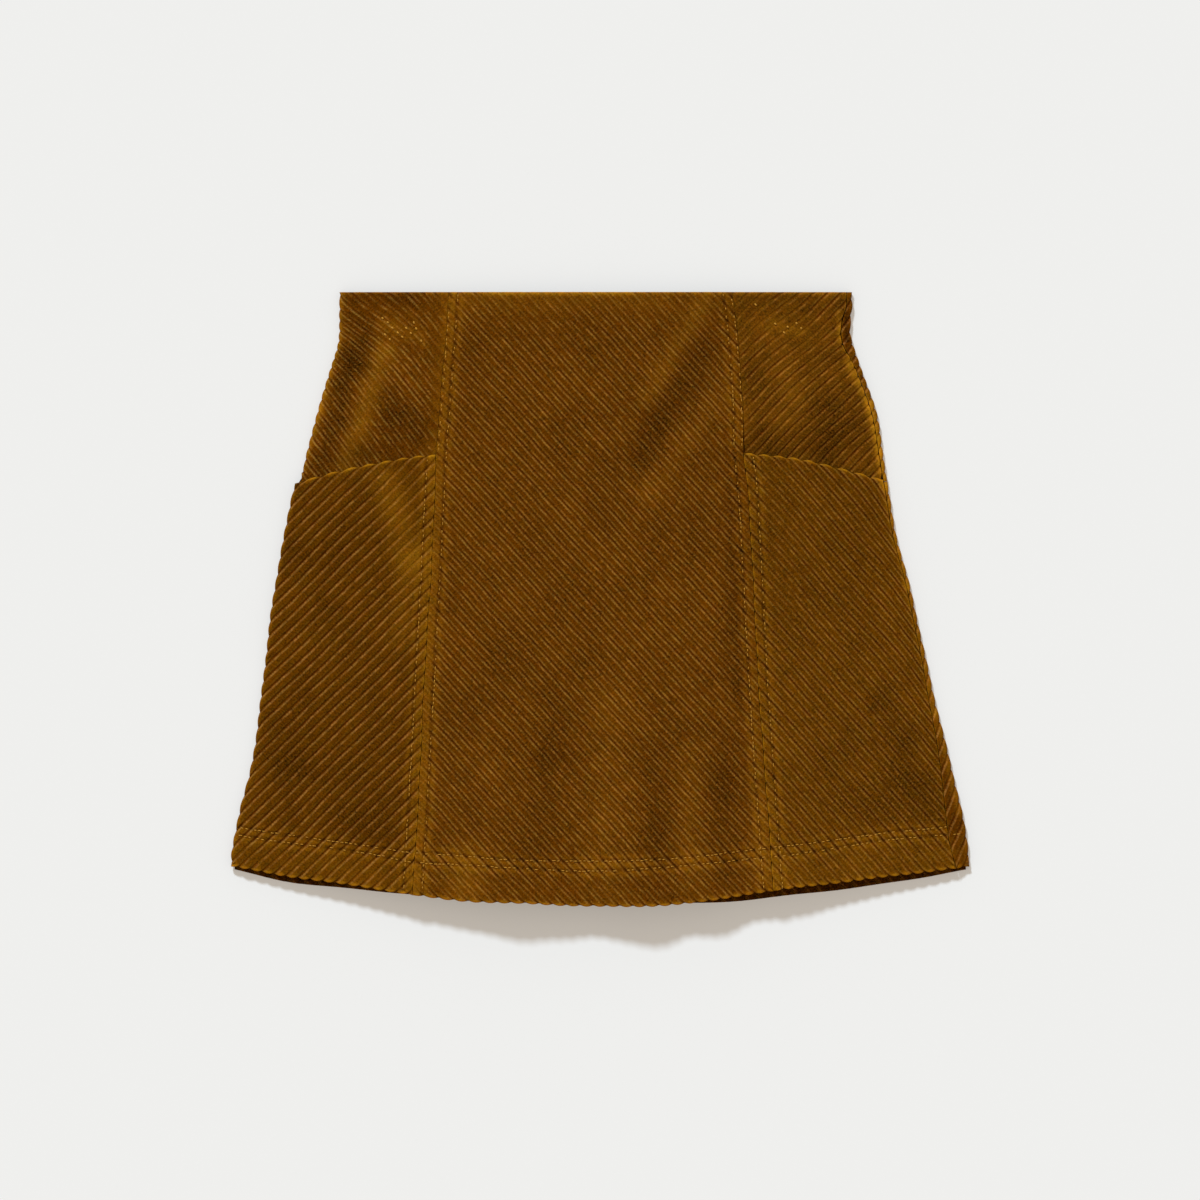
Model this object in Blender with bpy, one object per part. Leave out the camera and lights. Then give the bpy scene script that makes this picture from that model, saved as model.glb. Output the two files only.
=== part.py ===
"""A-line mini skirt in very wide-wale corduroy, laid flat with its front up.

+X is to the right as the front is looked at (the wearer's left), +Y runs from hem to
waist, and +Z up from the surface that the back lies on. Every panel of the front is a
cloth wall: plain inside, wales raised on its outside, meshed in strips that follow the
wales. The origin is under the middle of the garment.
"""
import math
from collections import namedtuple

import bmesh
import bpy

MM = 0.001

# ---- cloth, in millimetres ----
WALL = 1.5             # cloth between the wales
WALE_PITCH = 6.44      # from one valley to the next
WALE_RELIEF = 0.8      # height of a wale over its valleys
RIM = 0.18             # half of a valley's width, as a share of the pitch
SCALLOP = 0.7          # how far a valley ends inside a wale at a free edge
GAP = 0.3              # between pieces that are sewn together
LAP_GAP = 0.65         # between a pocket and the bowed yoke under it

# ---- how the garment lies ----
SIDE_LIFT = 4.8        # inside of the front over the surface, near the side edges
ROLL = 3.0             # how much lower than that the cloth turns at the edge itself
ROLL_WIDTH = 9.0
DOME_POWER = 1.2

# ---- pockets ----
POCKET_DEPTH = 104.0   # how far the yoke goes on under the pocket's mouth
YOKE_FLOOR = 2.95      # lowest inside of the yoke, just over the back and the zip
YOKE_DIP_SEAM = 2.6    # how far the yoke sinks under the mouth, at its ends
YOKE_DIP_MIDDLE = 4.4  # and halfway along it
DIP_ABOVE = 26.0       # where the yoke starts to sink, above the mouth
DIP_BELOW = 3.0        # and where it has sunk, below it
MOUTH_GAPE = 4.2       # how far the pocket stands up, halfway along its mouth
GAPE_FADE = 80.0
RELIEF_FADE = 7.0      # the yoke is plain from here below the mouth

# ---- side zip ----
TAPE_THICKNESS = 0.8
TAPE_WIDTH = 8.0
TAPE_INSET = 2.6       # from the side edge
TAPE_TOP = 200.0
TAPE_BOTTOM = 40.0
SLIDER_SIZE = (2.6, 7.0, 1.1)
SLIDER_PLACE = (160.5, 181.0)
SLIDER_ROUNDING = 0.3

# ---- where panels end ----
SEAM_HEM_LEFT = -124.0   # x of the long seams at the hem
SEAM_HEM_RIGHT = 114.0
YOKE_SIDE_END = 84.0     # height at which a yoke's side edge goes under its pocket
MOUTH_END_RIGHT = 186.4  # x of the right mouth's end at the turned margin
TURN_BOTTOM = -177.7     # height of the hem at the turned margin
FOLD_FADE = 25.0         # folds die out over this width at the side edges

# ---- spacing of points ----
OUTLINE_STEP = 8.0     # along the edge tables
ZIP_STEP = 10.0
NEAR_END = 0.25        # no shared step this near the end of a line, as a share of a step
CORNER_TURN = 0.7      # an outline that turns more than this, in radians, has a corner

# ---- edges: x of each line at height y ----
Sides = namedtuple("Sides", "y left right")
SIDES = [
    Sides(203.0, -172.5, 166.0),
    Sides(195.0, -172.6, 166.6),
    Sides(185.0, -172.6, 165.7),
    Sides(175.0, -172.8, 165.4),
    Sides(166.7, -174.0, 167.6),
    Sides(150.2, -179.2, 173.3),
    Sides(123.8, -187.8, 181.8),
    Sides(95.4, -194.7, 186.8),
    Sides(85.0, -197.0, 188.4),
    Sides(75.5, -202.4, 189.9),
    Sides(44.6, -208.9, 195.7),
    Sides(5.0, -216.2, 205.6),
    Sides(-34.7, -220.8, 214.2),
    Sides(-74.3, -225.4, 223.4),
    Sides(-113.9, -232.0, 232.7),
    Sides(-140.3, -239.3, 238.6),
    Sides(-166.7, -243.9, 243.2),
    Sides(-178.0, -243.9, 243.9),
]

Seams = namedtuple("Seams", "y left right")
SEAMS = [
    Seams(203.0, -100.0, 86.8),
    Seams(186.0, -101.3, 89.4),
    Seams(136.0, -105.0, 93.6),
    Seams(97.0, -107.9, 94.6),
    Seams(70.0, -109.4, 97.4),
    Seams(-50.0, -115.6, 104.0),
    Seams(-120.0, -119.6, 108.6),
    Seams(-195.0, -124.0, 114.2),
]

# The front ends here on the right, where the back panel turns over the side edge, and
# the slit of the side zip is where it draws back from that turned margin.
Turn = namedtuple("Turn", "y front back")
TURN = [
    Turn(203.0, 162.2, 162.5),
    Turn(195.0, 162.4, 162.7),
    Turn(188.0, 160.6, 162.6),
    Turn(180.0, 158.6, 162.4),
    Turn(171.0, 159.0, 162.6),
    Turn(164.5, 161.6, 163.6),
    Turn(159.5, 164.9, 165.2),
    Turn(150.2, 169.2, 169.5),
    Turn(123.8, 178.0, 178.3),
    Turn(95.4, 183.7, 184.0),
    Turn(76.9, 186.8, 187.1),
    Turn(44.6, 192.9, 193.2),
    Turn(5.0, 202.6, 202.9),
    Turn(-34.7, 210.7, 211.0),
    Turn(-74.3, 218.4, 218.7),
    Turn(-113.9, 224.7, 225.0),
    Turn(-140.3, 227.2, 227.5),
    Turn(-160.0, 229.9, 230.2),
    Turn(-177.7, 235.0, 235.3),
]

# ---- hem and pocket mouths: y of each line at x ----
Hem = namedtuple("Hem", "x front back")
HEM = [
    Hem(-243.9, -176.4, -177.9),
    Hem(-203.6, -183.6, -187.2),
    Hem(-150.8, -190.9, -192.4),
    Hem(-98.0, -198.3, -196.6),
    Hem(-45.2, -201.5, -198.9),
    Hem(1.0, -202.8, -199.6),
    Hem(47.2, -201.3, -200.1),
    Hem(73.6, -198.6, -200.4),
    Hem(100.0, -194.6, -198.6),
    Hem(152.8, -187.6, -192.3),
    Hem(205.6, -181.2, -184.8),
    Hem(243.9, -176.6, -178.2),
]

Mouth = namedtuple("Mouth", "x y")
MOUTH_LEFT = [
    Mouth(-203.0, 76.6),
    Mouth(-195.7, 78.9),
    Mouth(-156.4, 88.8),
    Mouth(-125.1, 94.1),
    Mouth(-107.0, 95.4),
]
MOUTH_RIGHT = [
    Mouth(94.5, 97.4),
    Mouth(119.8, 94.7),
    Mouth(140.3, 91.4),
    Mouth(173.9, 82.8),
    Mouth(188.4, 78.5),
]

# ---- lie of the front: height of its middle, and its folds ----
Crown = namedtuple("Crown", "y height")
CROWN = [
    Crown(203.0, 9.6),
    Crown(100.0, 10.2),
    Crown(0.0, 11.0),
    Crown(-80.0, 13.0),
    Crown(-140.0, 16.5),
    Crown(-203.0, 20.5),
]

# A soft ridge (height over 0) or trough (under 0) along a line from one end to the other.
Fold = namedtuple("Fold", "x0 y0 x1 y1 width height")
FOLDS = [
    Fold(69.0, 198.0, 33.0, 132.0, 13.0, 1.7),
    Fold(69.0, 165.0, 29.0, 92.0, 14.0, -1.8),
    Fold(82.0, 135.0, 33.0, 69.0, 13.0, 1.3),
    Fold(-142.0, 165.0, -168.0, 95.0, 11.0, 1.4),
    Fold(-136.0, 60.0, -130.0, -25.0, 15.0, 1.6),
    Fold(128.0, 150.0, 124.0, 110.0, 14.0, 0.8),
    Fold(-66.0, -125.0, -63.0, -203.0, 16.0, 3.2),
    Fold(-22.0, -110.0, -13.0, -203.0, 15.0, -3.0),
    Fold(30.0, -85.0, 26.0, -203.0, 14.0, 3.0),
    Fold(46.0, -130.0, 49.0, -203.0, 9.0, -1.6),
    Fold(68.0, -110.0, 71.0, -203.0, 11.0, 1.8),
    Fold(90.0, -115.0, 94.0, -203.0, 11.0, -2.0),
    Fold(122.0, -110.0, 128.0, -190.0, 14.0, 1.6),
    Fold(-200.0, -125.0, -160.0, -150.0, 10.0, 0.9),
]

# ---- panels: lie of the wales, and spacing of the points along them ----
Panel = namedtuple("Panel", "name angle step colour")
CENTRE = Panel("front_centre_panel", 133.0, 27.0, (0.121, 0.045, 0.003))
YOKE_LEFT = Panel("yoke_left", 128.0, 18.0, (0.112, 0.041, 0.003))
YOKE_RIGHT = Panel("yoke_right", 46.0, 18.0, (0.112, 0.041, 0.003))
POCKET_LEFT = Panel("pocket_left", 44.0, 22.0, (0.130, 0.049, 0.004))
POCKET_RIGHT = Panel("pocket_right", 132.0, 22.0, (0.130, 0.049, 0.004))
BACK_TURN = Panel("back_turned_margin", 60.0, 6.0, (0.130, 0.049, 0.004))

Point = namedtuple("Point", "x y edge")   # edge: what the outline is from here to the next
SEAM, SIDE, RAW = "seam", "side", "free end of wales"


# ---- reading the tables ----
def along(table, column, at):
    """A smooth curve through one column of a table, read at its first column's value."""
    rows = sorted(table, key=lambda row: row[0])
    index = 0
    while index < len(rows) - 2 and at > rows[index + 1][0]:
        index += 1
    low, high = rows[index], rows[index + 1]
    span = high[0] - low[0]
    value_low, value_high = getattr(low, column), getattr(high, column)
    slope = (value_high - value_low) / span
    before = rows[max(index - 1, 0)]
    after = rows[min(index + 2, len(rows) - 1)]
    slope_low = (value_high - getattr(before, column)) / (high[0] - before[0])
    slope_high = (getattr(after, column) - value_low) / (after[0] - low[0])
    share = min(max((at - low[0]) / span, 0.0), 1.0)
    bend_low = (slope_low - slope) * span * share * (1.0 - share) ** 2
    bend_high = (slope - slope_high) * span * share ** 2 * (1.0 - share)
    return value_low + slope * span * share + bend_low + bend_high


def steps(start, end, spacing=OUTLINE_STEP):
    """Values from start to end, both included, about one spacing apart."""
    count = max(1, round(abs(end - start) / spacing))
    return [start + (end - start) * index / count for index in range(count + 1)]


def smooth(value):
    """0 below 0, 1 above 1 and a soft step between."""
    value = min(max(value, 0.0), 1.0)
    return value * value * (3.0 - 2.0 * value)


# ---- the lie of the cloth: inner surface of each layer ----
def fold_height(x, y):
    """What all the folds together add to the front at this place."""
    total = 0.0
    for fold in FOLDS:
        run_x, run_y = fold.x1 - fold.x0, fold.y1 - fold.y0
        share = ((x - fold.x0) * run_x + (y - fold.y0) * run_y) / (run_x ** 2 + run_y ** 2)
        share = min(max(share, 0.0), 1.0)
        distance = math.hypot(x - fold.x0 - share * run_x, y - fold.y0 - share * run_y)
        total += fold.height * math.exp(-(distance / fold.width) ** 2)
    return total


def front_height(x, y):
    """Inner surface of the front: a low dome that rolls down at the side edges."""
    left, right = along(SIDES, "left", y), along(SIDES, "right", y)
    across = min(max((x - left) / (right - left), 0.0), 1.0)
    dome = math.sin(math.pi * across) ** DOME_POWER
    inset = max(min(x - left, right - x), 0.0)
    roll = ROLL * max(0.0, 1.0 - inset / ROLL_WIDTH) ** 2
    rise = (along(CROWN, "height", y) - SIDE_LIFT) * dome
    return SIDE_LIFT + rise - roll + fold_height(x, y) * smooth(inset / FOLD_FADE)


def mouth_share(x, mouth):
    """1 halfway along a pocket's mouth and 0 at its ends."""
    share = (x - mouth[0].x) / (mouth[-1].x - mouth[0].x)
    return math.sin(math.pi * min(max(share, 0.0), 1.0))


def yoke_relief(x, y, mouth):
    """The yoke's wales fade out just under the pocket's mouth."""
    return 1.0 - smooth((along(mouth, "y", x) - y) / RELIEF_FADE)


def yoke_height(x, y, mouth):
    """Inner surface of a yoke, which sinks under the pocket to make its back."""
    base = front_height(x, y)
    depth = YOKE_DIP_SEAM + (YOKE_DIP_MIDDLE - YOKE_DIP_SEAM) * mouth_share(x, mouth)
    above = along(mouth, "y", x) + DIP_ABOVE - y
    dip = depth * smooth(above / (DIP_ABOVE + DIP_BELOW))
    return base - min(dip, max(base - YOKE_FLOOR, 0.0))


def pocket_height(x, y, mouth):
    """Inner surface of a pocket: the front's own, clear of the yoke and gaping a little."""
    below = max(along(mouth, "y", x) - y, 0.0)
    gape = MOUTH_GAPE * mouth_share(x, mouth) * (1.0 - smooth(below / GAPE_FADE))
    own = front_height(x, y) + gape
    if below > POCKET_DEPTH + ROLL_WIDTH:
        return own
    yoke_top = yoke_height(x, y, mouth) + WALL + WALE_RELIEF * yoke_relief(x, y, mouth)
    return max(own, yoke_top + LAP_GAP)


# ---- outlines, anticlockwise from above ----
def edge_points(table, column, start, end, shift, edge):
    """Points down or up one edge table, from height start to height end."""
    return [Point(along(table, column, y) + shift, y, edge) for y in steps(start, end)]


def row_points(table, column, start, end, edge):
    """Points along the hem or a mouth, from x start to x end."""
    return [Point(x, along(table, column, x), edge) for x in steps(start, end)]


def top_row(start, end):
    """The waist's edge."""
    height = SIDES[0].y
    return [Point(start, height, SEAM), Point(end, height, SEAM)]


def joined(*runs):
    """Runs of points as one outline; a run's last point gives way to the next run's first."""
    return [point for run in runs for point in run[:-1]]


def centre_outline():
    left_hem = along(HEM, "front", SEAM_HEM_LEFT)
    right_hem = along(HEM, "front", SEAM_HEM_RIGHT)
    left_x = along(SEAMS, "left", left_hem) + GAP / 2
    right_x = along(SEAMS, "right", right_hem) - GAP / 2
    waist = SIDES[0].y
    return joined(
        row_points(HEM, "front", left_x, right_x, RAW),
        edge_points(SEAMS, "right", right_hem, waist, -GAP / 2, SEAM),
        top_row(SEAMS[0].right - GAP / 2, SEAMS[0].left + GAP / 2),
        edge_points(SEAMS, "left", waist, left_hem, GAP / 2, SEAM))


def yoke_left_outline():
    waist, mouth_y = SIDES[0].y, YOKE_SIDE_END
    bottom = mouth_y - POCKET_DEPTH
    corner = along(SIDES, "left", mouth_y)
    seam_bottom = along(SEAMS, "left", bottom) - GAP / 2
    return joined(
        [Point(corner, bottom, SEAM), Point(seam_bottom, bottom, SEAM)],
        edge_points(SEAMS, "left", bottom, waist, -GAP / 2, SEAM),
        top_row(SEAMS[0].left - GAP / 2, SIDES[0].left),
        edge_points(SIDES, "left", waist, mouth_y, 0.0, SIDE),
        [Point(corner, mouth_y, SEAM), Point(corner, bottom, SEAM)])


def yoke_right_outline():
    waist, mouth_y = SIDES[0].y, YOKE_SIDE_END
    bottom = mouth_y - POCKET_DEPTH
    corner = along(TURN, "front", mouth_y)
    seam_bottom = along(SEAMS, "right", bottom) + GAP / 2
    return joined(
        [Point(seam_bottom, bottom, SEAM), Point(corner, bottom, SEAM)],
        [Point(corner, bottom, SEAM), Point(corner, mouth_y, SEAM)],
        edge_points(TURN, "front", mouth_y, waist, 0.0, SEAM),
        top_row(TURN[0].front, SEAMS[0].right + GAP / 2),
        edge_points(SEAMS, "right", waist, bottom, GAP / 2, SEAM))


def pocket_left_outline():
    side_top, side_bottom = MOUTH_LEFT[0].y, along(HEM, "front", SIDES[-1].left)
    seam_top, seam_bottom = MOUTH_LEFT[-1].y, along(HEM, "front", SEAM_HEM_LEFT)
    seam_x = along(SEAMS, "left", seam_top) - GAP / 2
    hem_x = along(SEAMS, "left", seam_bottom) - GAP / 2
    return joined(
        row_points(HEM, "front", along(SIDES, "left", side_bottom), hem_x, RAW),
        edge_points(SEAMS, "left", seam_bottom, seam_top, -GAP / 2, SEAM),
        row_points(MOUTH_LEFT, "y", seam_x, along(SIDES, "left", side_top), RAW),
        edge_points(SIDES, "left", side_top, side_bottom, 0.0, SIDE))


def pocket_right_outline():
    side_top, side_bottom = along(MOUTH_RIGHT, "y", MOUTH_END_RIGHT), TURN_BOTTOM
    seam_top, seam_bottom = MOUTH_RIGHT[0].y, along(HEM, "front", SEAM_HEM_RIGHT)
    seam_x = along(SEAMS, "right", seam_top) + GAP / 2
    hem_x = along(SEAMS, "right", seam_bottom) + GAP / 2
    return joined(
        row_points(HEM, "front", hem_x, along(TURN, "front", side_bottom), RAW),
        edge_points(TURN, "front", side_bottom, side_top, 0.0, SEAM),
        row_points(MOUTH_RIGHT, "y", along(TURN, "front", side_top), seam_x, RAW),
        edge_points(SEAMS, "right", seam_top, seam_bottom, GAP / 2, SEAM))


def turned_outline():
    waist, bottom_in = SIDES[0].y, TURN_BOTTOM
    bottom_out = HEM[-1].front
    return joined(
        [Point(along(TURN, "back", bottom_in), bottom_in, RAW),
         Point(along(SIDES, "right", bottom_out), bottom_out, RAW)],
        edge_points(SIDES, "right", bottom_out, waist, 0.0, SIDE),
        top_row(SIDES[0].right, TURN[0].back),
        edge_points(TURN, "back", waist, bottom_in, 0.0, SEAM))


def back_outline():
    left_hem = along(HEM, "back", SIDES[-1].left)
    right_hem = along(HEM, "back", SIDES[-1].right)
    return joined(
        row_points(HEM, "back", SIDES[-1].left, SIDES[-1].right, SEAM),
        edge_points(SIDES, "right", right_hem, SIDES[0].y, 0.0, SEAM),
        top_row(SIDES[0].right, SIDES[0].left),
        edge_points(SIDES, "left", SIDES[0].y, left_hem, 0.0, SEAM))


# ---- a cloth wall in strips along its wales ----
def relief_at(distance):
    """Share of a wale's height at a distance across the wales."""
    phase = (distance / WALE_PITCH) % 1.0
    return min(min(phase, 1.0 - phase) / RIM, 1.0)


def line_places(outline, across):
    """Where the mesh lines run across the wales: valleys, rims and the outline's corners."""
    places = [point.x * across[0] + point.y * across[1] for point in outline]
    corners = []
    for index, point in enumerate(outline):
        if point.edge != outline[index - 1].edge or is_corner(outline, index):
            corners.append(places[index])
    lowest, highest = min(places), max(places)
    fixed = sorted(set([lowest, highest] + corners))
    result = [(place, False) for place in fixed]
    period = math.floor(lowest / WALE_PITCH)
    while period * WALE_PITCH < highest:
        for share in (0.0, RIM, 1.0 - RIM):
            place = (period + share) * WALE_PITCH
            is_free = all(abs(place - other) > WALE_PITCH * RIM / 2 for other in fixed)
            if lowest < place < highest and is_free:
                result.append((place, share != 0.0))
        period += 1
    return sorted(result)


def is_corner(outline, index):
    """Whether the outline turns sharply at this point."""
    before, here = outline[index - 1], outline[index]
    after = outline[(index + 1) % len(outline)]
    turn_in = math.atan2(here.y - before.y, here.x - before.x)
    turn_out = math.atan2(after.y - here.y, after.x - here.x)
    return abs(math.remainder(turn_out - turn_in, 2.0 * math.pi)) > CORNER_TURN


def crossings(outline, place, wale, across):
    """The two ends of a line along the wales inside the outline, with their kinds of edge."""
    hits = []
    for index, start in enumerate(outline):
        end = outline[(index + 1) % len(outline)]
        place_start = start.x * across[0] + start.y * across[1]
        place_end = end.x * across[0] + end.y * across[1]
        if (place_start <= place) != (place_end <= place):
            share = (place - place_start) / (place_end - place_start)
            x = start.x + share * (end.x - start.x)
            y = start.y + share * (end.y - start.y)
            hits.append((x * wale[0] + y * wale[1], start.edge))
    return min(hits), max(hits)


def spread(first, last, step):
    """Places along one line: its two ends, shared steps between, closer at a side edge."""
    (start, start_edge), (end, end_edge) = first, last
    places = [start, end]
    inner_start, inner_end = start, end
    if start_edge == SIDE and end - start > ROLL_WIDTH:
        places += [start + ROLL_WIDTH * 0.35, start + ROLL_WIDTH]
        inner_start = start + ROLL_WIDTH
    if end_edge == SIDE and end - start > 2.2 * ROLL_WIDTH:
        places += [end - ROLL_WIDTH * 0.35, end - ROLL_WIDTH]
        inner_end = end - ROLL_WIDTH
    nearest = step * NEAR_END
    shared = math.ceil((inner_start + nearest) / step)
    while shared * step < inner_end - nearest:
        places.append(shared * step)
        shared += 1
    return sorted(places)


def wall_lines(outline, panel, height, relief):
    """Rows of outer and inner points, a row for each mesh line."""
    angle = math.radians(panel.angle)
    wale = (math.cos(angle), math.sin(angle))
    across = (math.sin(angle), -math.cos(angle))
    outer, inner = [], []
    lines = line_places(outline, across)
    for index, (place, is_rim) in enumerate(lines):
        wale_share = relief_at(place)
        if index in (0, len(lines) - 1):
            corner = min(outline, key=lambda p: abs(p.x * across[0] + p.y * across[1] - place))
            along_wale = [corner.x * wale[0] + corner.y * wale[1]]
        else:
            first, last = crossings(outline, place, wale, across)
            draw_in = SCALLOP * (1.0 - wale_share)
            start = (first[0] + (draw_in if first[1] != SEAM else 0.0), first[1])
            end = (last[0] - (draw_in if last[1] != SEAM else 0.0), last[1])
            along_wale = spread(start, end, panel.step)
        row_out, row_in = [], []
        for distance in along_wale:
            x = distance * wale[0] + place * across[0]
            y = distance * wale[1] + place * across[1]
            low = height(x, y)
            high = low + WALL + WALE_RELIEF * wale_share * relief(x, y)
            row_out.append((distance, (x * MM, y * MM, high * MM)))
            row_in.append((distance, (x * MM, y * MM, low * MM)))
        outer.append((place, row_out))
        if not is_rim:
            inner.append((place, row_in))
    return outer, inner


def stitch(mesh, row_a, row_b):
    """Triangles between two rows of (key, vertex), walking along both by their keys."""
    a, b = 0, 0
    while a < len(row_a) - 1 or b < len(row_b) - 1:
        step_a = b == len(row_b) - 1
        if a < len(row_a) - 1 and not step_a:
            step_a = row_a[a + 1][0] <= row_b[b + 1][0]
        if step_a:
            corners = (row_a[a][1], row_a[a + 1][1], row_b[b][1])
            a += 1
        else:
            corners = (row_a[a][1], row_b[b + 1][1], row_b[b][1])
            b += 1
        if len(set(corners)) == 3:
            mesh.faces.new(corners)


def surface(mesh, lines):
    """One face of the wall; returns its rows of (place, first vertex) and (place, last)."""
    rows = []
    for place, row in lines:
        rows.append((place, [(key, mesh.verts.new(point)) for key, point in row]))
    for (_, row_a), (_, row_b) in zip(rows, rows[1:]):
        stitch(mesh, row_a, row_b)
    starts = [(place, row[0][1]) for place, row in rows]
    ends = [(place, row[-1][1]) for place, row in rows]
    return starts, ends


def cloth_wall(panel, outline, height, relief=lambda x, y: 1.0):
    """A closed cloth wall with raised wales, as one object."""
    outer, inner = wall_lines(outline, panel, height, relief)
    mesh = bmesh.new()
    outer_starts, outer_ends = surface(mesh, outer)
    inner_starts, inner_ends = surface(mesh, inner)
    stitch(mesh, outer_starts, inner_starts)
    stitch(mesh, outer_ends, inner_ends)
    bmesh.ops.recalc_face_normals(mesh, faces=mesh.faces)
    return add_object(panel.name, mesh, panel.colour, 0.85)


# ---- objects and materials ----
def finish_material(name, colour, roughness, metallic=0.0):
    material = bpy.data.materials.new(name)
    material.use_nodes = True
    shader = material.node_tree.nodes["Principled BSDF"]
    shader.inputs["Base Color"].default_value = (*colour, 1.0)
    shader.inputs["Roughness"].default_value = roughness
    shader.inputs["Metallic"].default_value = metallic
    return material


def add_object(name, mesh, colour, roughness, metallic=0.0):
    data = bpy.data.meshes.new(name)
    mesh.to_mesh(data)
    mesh.free()
    data.materials.append(finish_material(name + "_finish", colour, roughness, metallic))
    piece = bpy.data.objects.new(name, data)
    PARTS.objects.link(piece)
    return piece


def flat_sheet(name, outline, bottom, thickness, colour):
    """A plain flat layer of an outline."""
    mesh = bmesh.new()
    corners = [mesh.verts.new((p.x * MM, p.y * MM, bottom * MM)) for p in outline]
    face = mesh.faces.new(corners)
    raised = bmesh.ops.extrude_face_region(mesh, geom=[face])
    lifted = [item for item in raised["geom"] if isinstance(item, bmesh.types.BMVert)]
    bmesh.ops.translate(mesh, verts=lifted, vec=(0.0, 0.0, thickness * MM))
    bmesh.ops.recalc_face_normals(mesh, faces=mesh.faces)
    return add_object(name, mesh, colour, 0.9)


def zip_outline():
    """The zip's tape lies along the side edge, under the front and the turned margin."""
    heights = steps(TAPE_BOTTOM, TAPE_TOP, ZIP_STEP)
    outer = [Point(along(SIDES, "right", y) - TAPE_INSET, y, SEAM) for y in heights]
    inner = [Point(point.x - TAPE_WIDTH, point.y, SEAM) for point in reversed(outer)]
    return outer + inner


def zip_slider():
    """The slider, closed at the top of the slit, on the tape."""
    mesh = bmesh.new()
    bmesh.ops.create_cube(mesh, size=1.0)
    size = [side * MM for side in SLIDER_SIZE]
    bmesh.ops.scale(mesh, verts=mesh.verts, vec=size)
    bmesh.ops.bevel(mesh, geom=mesh.edges[:], offset=SLIDER_ROUNDING * MM, segments=2,
                    affect="EDGES")
    height = WALL + GAP + TAPE_THICKNESS + GAP + SLIDER_SIZE[2] / 2
    place = (SLIDER_PLACE[0] * MM, SLIDER_PLACE[1] * MM, height * MM)
    bmesh.ops.translate(mesh, verts=mesh.verts, vec=place)
    return add_object("side_zip_slider", mesh, (0.06, 0.03, 0.01), 0.4, 0.8)


for leftover in list(bpy.data.objects):
    bpy.data.objects.remove(leftover, do_unlink=True)
PARTS = bpy.data.collections.new("a_line_skirt")
bpy.context.scene.collection.children.link(PARTS)

cloth_wall(CENTRE, centre_outline(), front_height)
cloth_wall(YOKE_LEFT, yoke_left_outline(),
           lambda x, y: yoke_height(x, y, MOUTH_LEFT),
           lambda x, y: yoke_relief(x, y, MOUTH_LEFT))
cloth_wall(YOKE_RIGHT, yoke_right_outline(),
           lambda x, y: yoke_height(x, y, MOUTH_RIGHT),
           lambda x, y: yoke_relief(x, y, MOUTH_RIGHT))
cloth_wall(POCKET_LEFT, pocket_left_outline(),
           lambda x, y: pocket_height(x, y, MOUTH_LEFT))
cloth_wall(POCKET_RIGHT, pocket_right_outline(),
           lambda x, y: pocket_height(x, y, MOUTH_RIGHT))
cloth_wall(BACK_TURN, turned_outline(), front_height)
flat_sheet("back_panel", back_outline(), 0.0, WALL, (0.105, 0.038, 0.003))
flat_sheet("side_zip_tape", zip_outline(), WALL + GAP, TAPE_THICKNESS, (0.05, 0.02, 0.004))
zip_slider()
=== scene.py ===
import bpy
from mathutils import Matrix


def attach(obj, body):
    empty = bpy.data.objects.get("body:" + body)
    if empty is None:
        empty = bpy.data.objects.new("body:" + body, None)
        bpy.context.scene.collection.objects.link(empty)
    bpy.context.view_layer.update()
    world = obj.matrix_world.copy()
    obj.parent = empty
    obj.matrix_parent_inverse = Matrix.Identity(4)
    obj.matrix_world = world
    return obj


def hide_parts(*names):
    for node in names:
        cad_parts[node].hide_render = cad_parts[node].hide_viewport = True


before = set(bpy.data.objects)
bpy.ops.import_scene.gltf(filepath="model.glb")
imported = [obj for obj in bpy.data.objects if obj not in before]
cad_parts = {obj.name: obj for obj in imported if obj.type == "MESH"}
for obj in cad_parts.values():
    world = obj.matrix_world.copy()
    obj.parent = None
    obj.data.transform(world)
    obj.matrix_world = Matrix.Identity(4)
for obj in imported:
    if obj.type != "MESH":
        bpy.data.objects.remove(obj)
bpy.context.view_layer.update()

import math

import bmesh
import bpy
import numpy as np

# ---- back panel ----
# The back of the skirt, one piece of very wide-wale cotton corduroy of 450 g/m2. It lies face
# down on the table, so its wales are underneath, pressed flat. Its hem is turned up inside and
# sewn, so the last 30 mm above the hem show wales again.
MM = 0.001
PITCH = 6.44        # from one valley between the wales to the next
WALL = 1.5          # cloth under the wales
RELIEF = 0.8        # height of a wale over its valleys
RIM = 0.26          # a wale rounds off over this share of the pitch on each side
CROWN_SHARE = 0.1   # part of a wale's height that its middle stands over its rims
CORNER_TURN = 0.7   # an outline that turns more than this, in radians, has a corner
CORNER_INSET, TURN_ROOM = 0.04, 0.15   # mesh lines beside a corner, and the room they keep
LEAST_SINE = 0.3    # an edge that runs nearer along the wales counts as crossing at this
BACK_TUCK = 2.3     # the back's sides end this far inside the folded side edges
BACK_HEM_BAND, BACK_RELIEF = 30.0, 0.6

# Height from the skirt's middle, then the left and the right side edge there.
SIDES = [
    (203, -172.5, 166), (195, -172.6, 166.6), (185, -172.6, 165.7), (175, -172.8, 165.4),
    (166.7, -174, 167.6), (150.2, -179.2, 173.3), (123.8, -187.8, 181.8), (95.4, -194.7, 186.8),
    (85, -197, 188.4), (75.5, -202.4, 189.9), (44.6, -208.9, 195.7), (5, -216.2, 205.6),
    (-34.7, -220.8, 214.2), (-74.3, -225.4, 223.4), (-113.9, -232, 232.7), (-140.3, -239.3, 238.6),
    (-166.7, -243.9, 243.2), (-178, -243.9, 243.9)]

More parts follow.
